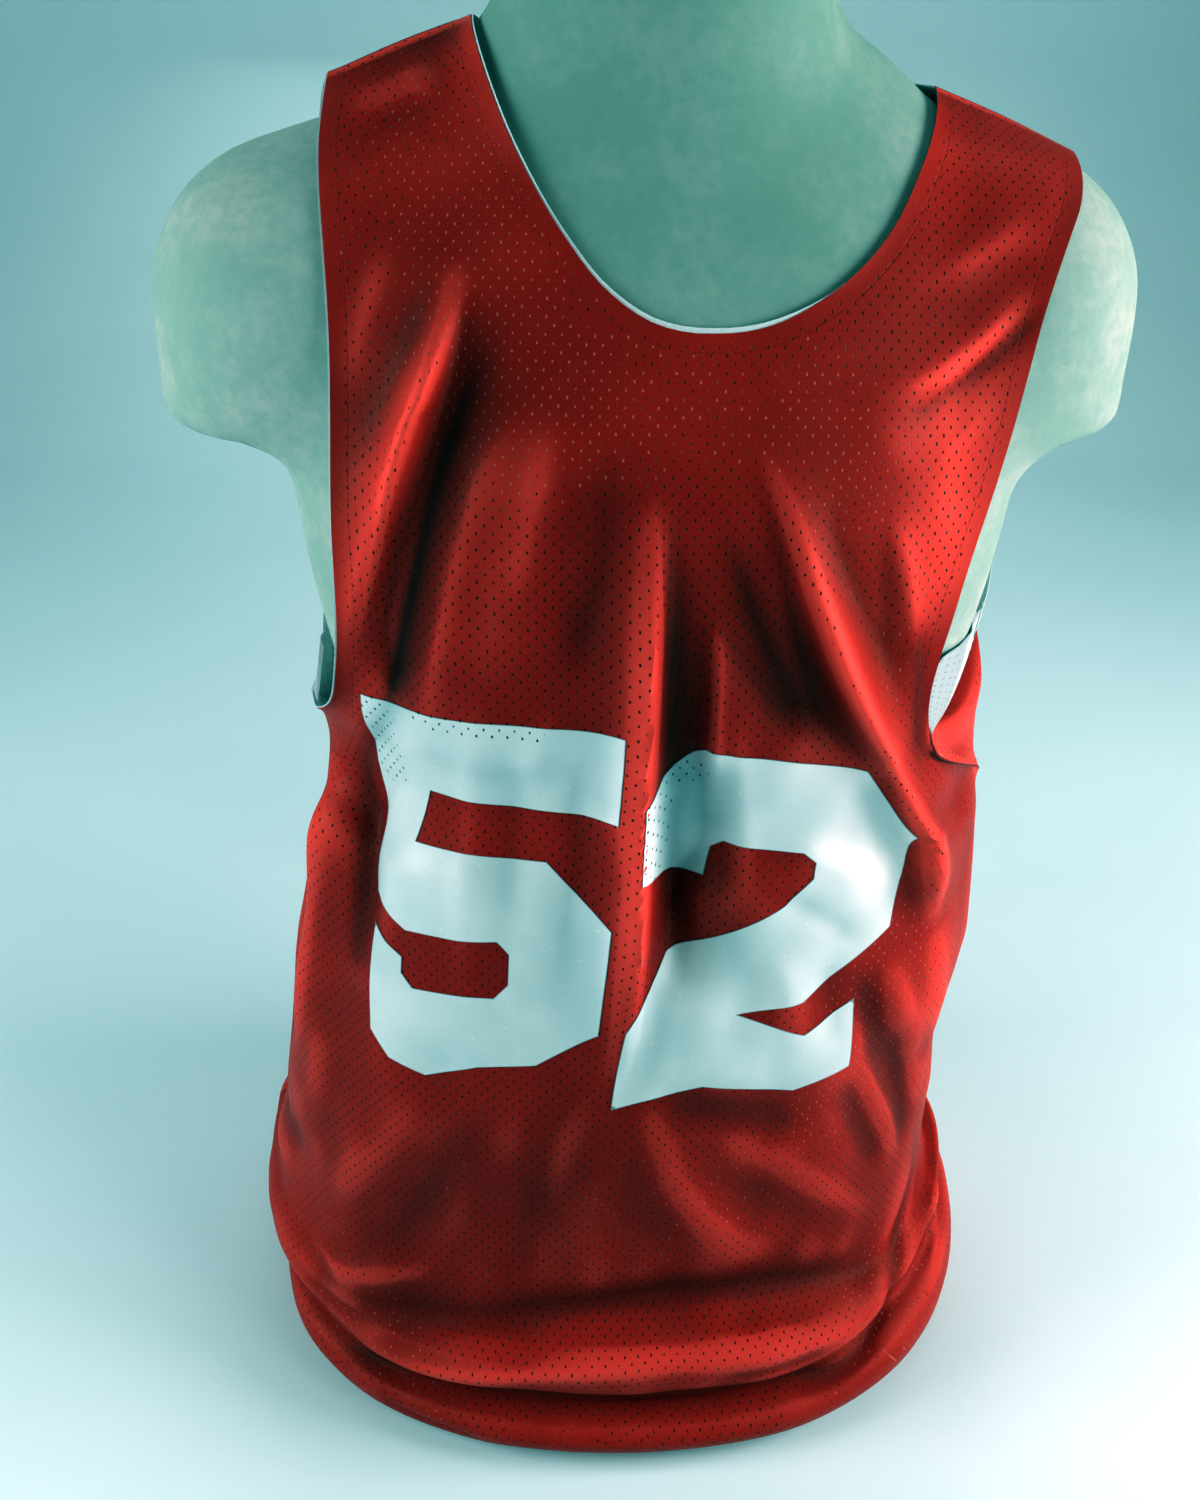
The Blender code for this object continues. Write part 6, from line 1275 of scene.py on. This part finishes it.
def main():
    world = bpy.data.worlds.new("studio")
    world.use_nodes = True
    sky = world.node_tree
    at, parts, ramp, mix = (sky.nodes.new("ShaderNode" + k) for k in ("TexCoord", "SeparateXYZ", "MapRange", "Mix"))
    mix.data_type = "RGBA"
    sky.links.new(at.outputs["Generated"], parts.inputs[0])
    sky.links.new(parts.outputs[2], ramp.inputs["Value"])
    ramp.inputs["From Min"].default_value, ramp.inputs["From Max"].default_value = 0.0, 0.8
    sky.links.new(ramp.outputs[0], mix.inputs[0])
    mix.inputs[6].default_value, mix.inputs[7].default_value = (*HORIZON, 1), (*OVERHEAD, 1)
    sky.links.new(mix.outputs[2], sky.nodes["Background"].inputs["Color"])
    bpy.context.scene.world = world
    view = bpy.context.scene.view_settings
    view.view_transform = "Standard"
    view.use_curve_mapping = True
    for curve, power in zip(view.curve_mapping.curves, CONTRAST):
        for k, x in enumerate((0.0, 0.05, 0.12, 0.22, 0.35, 0.5, 0.68, 0.84, 1.0)):
            if x in (0.0, 1.0):
                curve.points[0 if x == 0 else -1].location = (x, x)
            else:
                curve.points.new(x, x**power)
    view.curve_mapping.update()

    cloth = make_cloth()
    N, V, F = cloth.normals(), cloth.V, cloth.F
    shift = cloth.seam_shift(0.012)
    red = {"front": red_cloth("red_mesh_front"), "back": red_cloth("red_mesh_back")}
    white = {"front": white_cloth("white_mesh_front"), "back": white_cloth("white_mesh_back")}
    see = blobs(SEE, V) + 0.16*waves(F, 3, 11.0, (1.0, 1.4)) + 0.10*waves(F, 11, 3.0, (1.0, 1.0))
    fine, broad = hollows(cloth, N)
    uneven = unevenness(cloth)
    # the painted shade and painted highlight strokes, as a value on each point
    painted_shade_and_light = np.clip((folded(V, N, PAINTED_SHADE_AND_LIGHT)*N).sum(1), -1, 1)
    made = {}
    for side in ("front", "back"):
        p = cloth.panels[side]
        used = np.unique(p["quads"])
        arms, neck, seams = edge_lines(cloth, side)
        edge, seam = np.full(len(V), 9.0), np.full(len(V), 9.0)
        edge[used] = distance_to(F[used], arms + neck)
        seam[used] = distance_to(F[used], seams)
        values = {"edge": edge, "seam": seam, "see": see, "fine": fine, "broad": broad, "uneven": uneven, "painted_shade_and_light": painted_shade_and_light}
        face = V + shift
        made[side + "_outer"] = shell(side + "_red", face, face - OUTER_WALL*N, p["quads"], red[side], F, values)
        # the white layer, its free edges a little proud of the red
        rows = p["body"][:p["chest"] + 1 + (40 if side == "front" else 60)]
        top = np.concatenate([quads_of(p["left"]), quads_of(p["right"]), quads_of(rows)])
        out = np.zeros_like(V)
        proud = np.zeros(len(V))
        body = p["body"][:p["chest"] + 1]
        for block, c, inner in ((p["left"], 0, 1), (p["left"], -1, -2), (p["right"], 0, 1), (p["right"], -1, -2),
                                (body, 0, 1), (body, -1, -2)):
            line, nxt = block[:, c], block[:, inner]
            d = V[line] - V[nxt]
            along = np.gradient(V[line], axis=0)
            along /= np.maximum(np.linalg.norm(along, axis=1, keepdims=True), 1e-9)
            d = d - (d*along).sum(1, keepdims=True)*along
            out[line] = d/np.maximum(np.linalg.norm(d, axis=1, keepdims=True), 1e-9)
            is_neck = (block is p["left"] and c == -1) or (block is p["right"] and c == 0)
            if is_neck:
                proud[line] = PROUD["neck"][0] + PROUD["neck"][1]*np.exp(-((V[line, 0] - 1.5)/6.0)**2)*(side == "front")
                if side == "front":                         # on the right the red covers it
                    proud[line] -= 0.16*np.clip((V[line, 0] - 5.0)/3.0, 0, 1)
            elif side == "front" and V[line, 0].mean() > 0:
                proud[line] = -0.05
            else:
                proud[line] = PROUD["arm"]
        back = np.clip(proud/0.05, 0, 1)
        drop = LINING_DROP*np.ones(len(V)) - 0.03*back
        hi = face + out*proud[:, None] - drop[:, None]*N
        lo, cut = hi - LINING_WALL*N, F
        if side == "back":
            hi, lo, cut = [hi], [lo], [F]
            for hand, up, front_up, reach in TURNED:
                P, way, Q, flat, rise = turned_edge(cloth, V + shift, N, hand, up, front_up, reach)
                top = np.concatenate([top, Q + sum(len(part) for part in hi)])
                hi.append(P), lo.append(P - LINING_WALL*way), cut.append(flat)
                # see at -1 marks the turned strip for its painted shade and painted highlight in the white material
                values = {k: np.concatenate([v, {"edge": rise, "see": rise*0 - 1}.get(k, rise*0)]) for k, v in values.items()}
            hi, lo, cut = np.concatenate(hi), np.concatenate(lo), np.concatenate(cut)
        made[side + "_lining"] = shell(side + "_white", hi, lo, top, white[side], cut, values)
    lookup = FlatMap(F, quads_of(cloth.panels["front"]["body"]))
    for name in ("number_5", "number_2"):
        piece, flat = numeral(name + "_print", NUMBERS[name], cloth, V + shift, N, lookup, printed("print_" + name[-1]))
        edge = distance_to(flat, [np.array(NUMBERS[name] + NUMBERS[name][:1], float)])
        opened = np.zeros(len(flat))
        for s, t, a, b, value in OPEN:
            opened += value*np.exp(-np.abs((flat[:, 0] - s)/a)**4 - np.abs((flat[:, 1] - t)/b)**4)
        spots = [lookup.find(*spot) for spot in flat]
        near = [np.array([w @ value[ids] for ids, w in spots]) for value in (fine, broad, painted_shade_and_light)]
        for key, value in (("edge", edge), ("open", opened), ("fine", near[0]), ("broad", near[1]), ("painted_shade_and_light", near[2])):
            at = piece.data.attributes.new(key, "FLOAT", "POINT")
            at.data.foreach_set("value", np.concatenate([value, value]).astype(np.float32))
        made[name] = piece
    made["form"] = torso_form(form_shell("form_shell_finish"))
    for node, piece in made.items():
        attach(piece, "root")
        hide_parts(node)
    # a floor that rises in a soft curve behind the object
    turn = [(1.5 + 0.9*math.sin(a), 0.9 - 0.9*math.cos(a)) for a in np.linspace(0, math.pi/2, 17)]
    rows = [(-9.0, 0.0), (0.0, 0.0)] + turn + [(2.4, 5.0)]
    floor = bpy.data.meshes.new("floor")
    floor.from_pydata([(x, y, z) for y, z in rows for x in (-9, 9)], [],
                      [(2*k, 2*k + 1, 2*k + 3, 2*k + 2) for k in range(len(rows) - 1)])
    floor.shade_smooth()
    floor.materials.append(plain("floor_board", FLOOR, 0.7))
    ground = bpy.data.objects.new("floor", floor)
    ground.location.z = -0.0005
    bpy.context.scene.collection.objects.link(ground)
    for name, at, aim, size, power, colour in LIGHTS:
        lamp = bpy.data.lights.new(name, "AREA")
        lamp.shape, lamp.size, lamp.size_y = "RECTANGLE", size[0], size[1]
        lamp.energy, lamp.color = power, colour
        obj = bpy.data.objects.new(name, lamp)
        obj.location = at
        obj.rotation_euler = (Vector(aim) - Vector(at)).to_track_quat("-Z", "Y").to_euler()
        bpy.context.scene.collection.objects.link(obj)
    camera()


def form_ring(z, sides, inset=0.0):
    """The form's outline at height z: the surface met by rays from its axis."""
    th = np.arange(sides)*2*math.pi/sides
    axis = np.array([FORM_LEAN, 0.4, z])
    ray = np.stack([np.sin(th), -np.cos(th), 0*th], 1)
    inside, outside = np.zeros(sides), np.full(sides, 40.0)
    for _ in range(26):
        half = 0.5*(inside + outside)
        gap = form_gap(axis + half[:, None]*ray)
        inside, outside = np.where(gap < 0, half, inside), np.where(gap < 0, outside, half)
    return axis + (inside - inset)[:, None]*ray


def torso_form(mat):
    """Fine rings from the foot to the rounded top of the neck, closer together under the shoulder stubs."""
    sides = 144
    levels = np.concatenate([[0.15, 0.5, 1.2], np.arange(2.5, 50, 1.5), np.arange(50, 57, 0.7), np.arange(57, 60.6, 0.2),
                             np.arange(60.8, 80, 0.5), np.arange(80, NECK_TOP - 0.9, 1.0)])
    rings = [form_ring(0.0, sides, 0.5)*(1, 1, 0)]
    rings += [form_ring(z, sides, 0.3*max(0, 1 - z/0.6)**2) for z in levels]
    for a in (0, 25, 50, 70, 90):                          # the rounded rim of the flat top
        r = form_ring(NECK_TOP - 0.8, sides, 0.8*(1 - math.cos(math.radians(a))))
        r[:, 2] = NECK_TOP - 0.8 + 0.8*math.sin(math.radians(a))
        rings.append(r)
    points = np.concatenate(rings)
    full = 0.6*np.exp(-((points - (11.0, 2.0, 76.0))**2).sum(1)/(2*2.0**2))
    points = points + full[:, None]*form_normal(points)
    verts = place(points)
    n, faces = sides, []
    for k in range(len(rings) - 1):
        a = k*n + np.arange(n)
        b = k*n + (np.arange(n) + 1) % n
        faces += np.stack([a, b, b + n, a + n], 1).tolist()
    faces.append(list(range(n))[::-1])
    faces.append(list(range(len(verts) - n, len(verts))))
    mesh = bpy.data.meshes.new("torso")
    mesh.from_pydata(verts.tolist(), [], faces)
    mesh.update()
    mesh.shade_smooth()
    mesh.set_sharp_from_angle(angle=math.radians(50))
    mesh.materials.append(mat)
    obj = bpy.data.objects.new("torso", mesh)
    bpy.context.scene.collection.objects.link(obj)
    return obj


def camera():
    """At the height and angle of a person who stands before the table, turned 4 degrees to the right and 30 down."""
    az, pitch, roll = math.radians(4.0), math.radians(30.0), math.radians(1.4)
    ahead, across = Vector((math.sin(az), math.cos(az), 0)), Vector((math.cos(az), -math.sin(az), 0))
    look = ahead*math.cos(pitch) - Vector((0, 0, math.sin(pitch)))
    up = ahead*math.sin(pitch) + Vector((0, 0, math.cos(pitch)))
    right = across*math.cos(roll) + up*math.sin(roll)
    top = -across*math.sin(roll) + up*math.cos(roll)
    cam = bpy.data.cameras.new("camera")
    cam.sensor_width, cam.sensor_fit, cam.lens = 36.0, "AUTO", 36.8
    cam.clip_start, cam.clip_end = 0.05, 60.0
    obj = bpy.data.objects.new("camera", cam)
    m = Matrix((right, top, -look)).transposed().to_4x4()
    m.translation = (-0.07745, -0.79196, 0.844)
    obj.matrix_world = m
    bpy.context.scene.collection.objects.link(obj)
    bpy.context.scene.camera = obj


main()
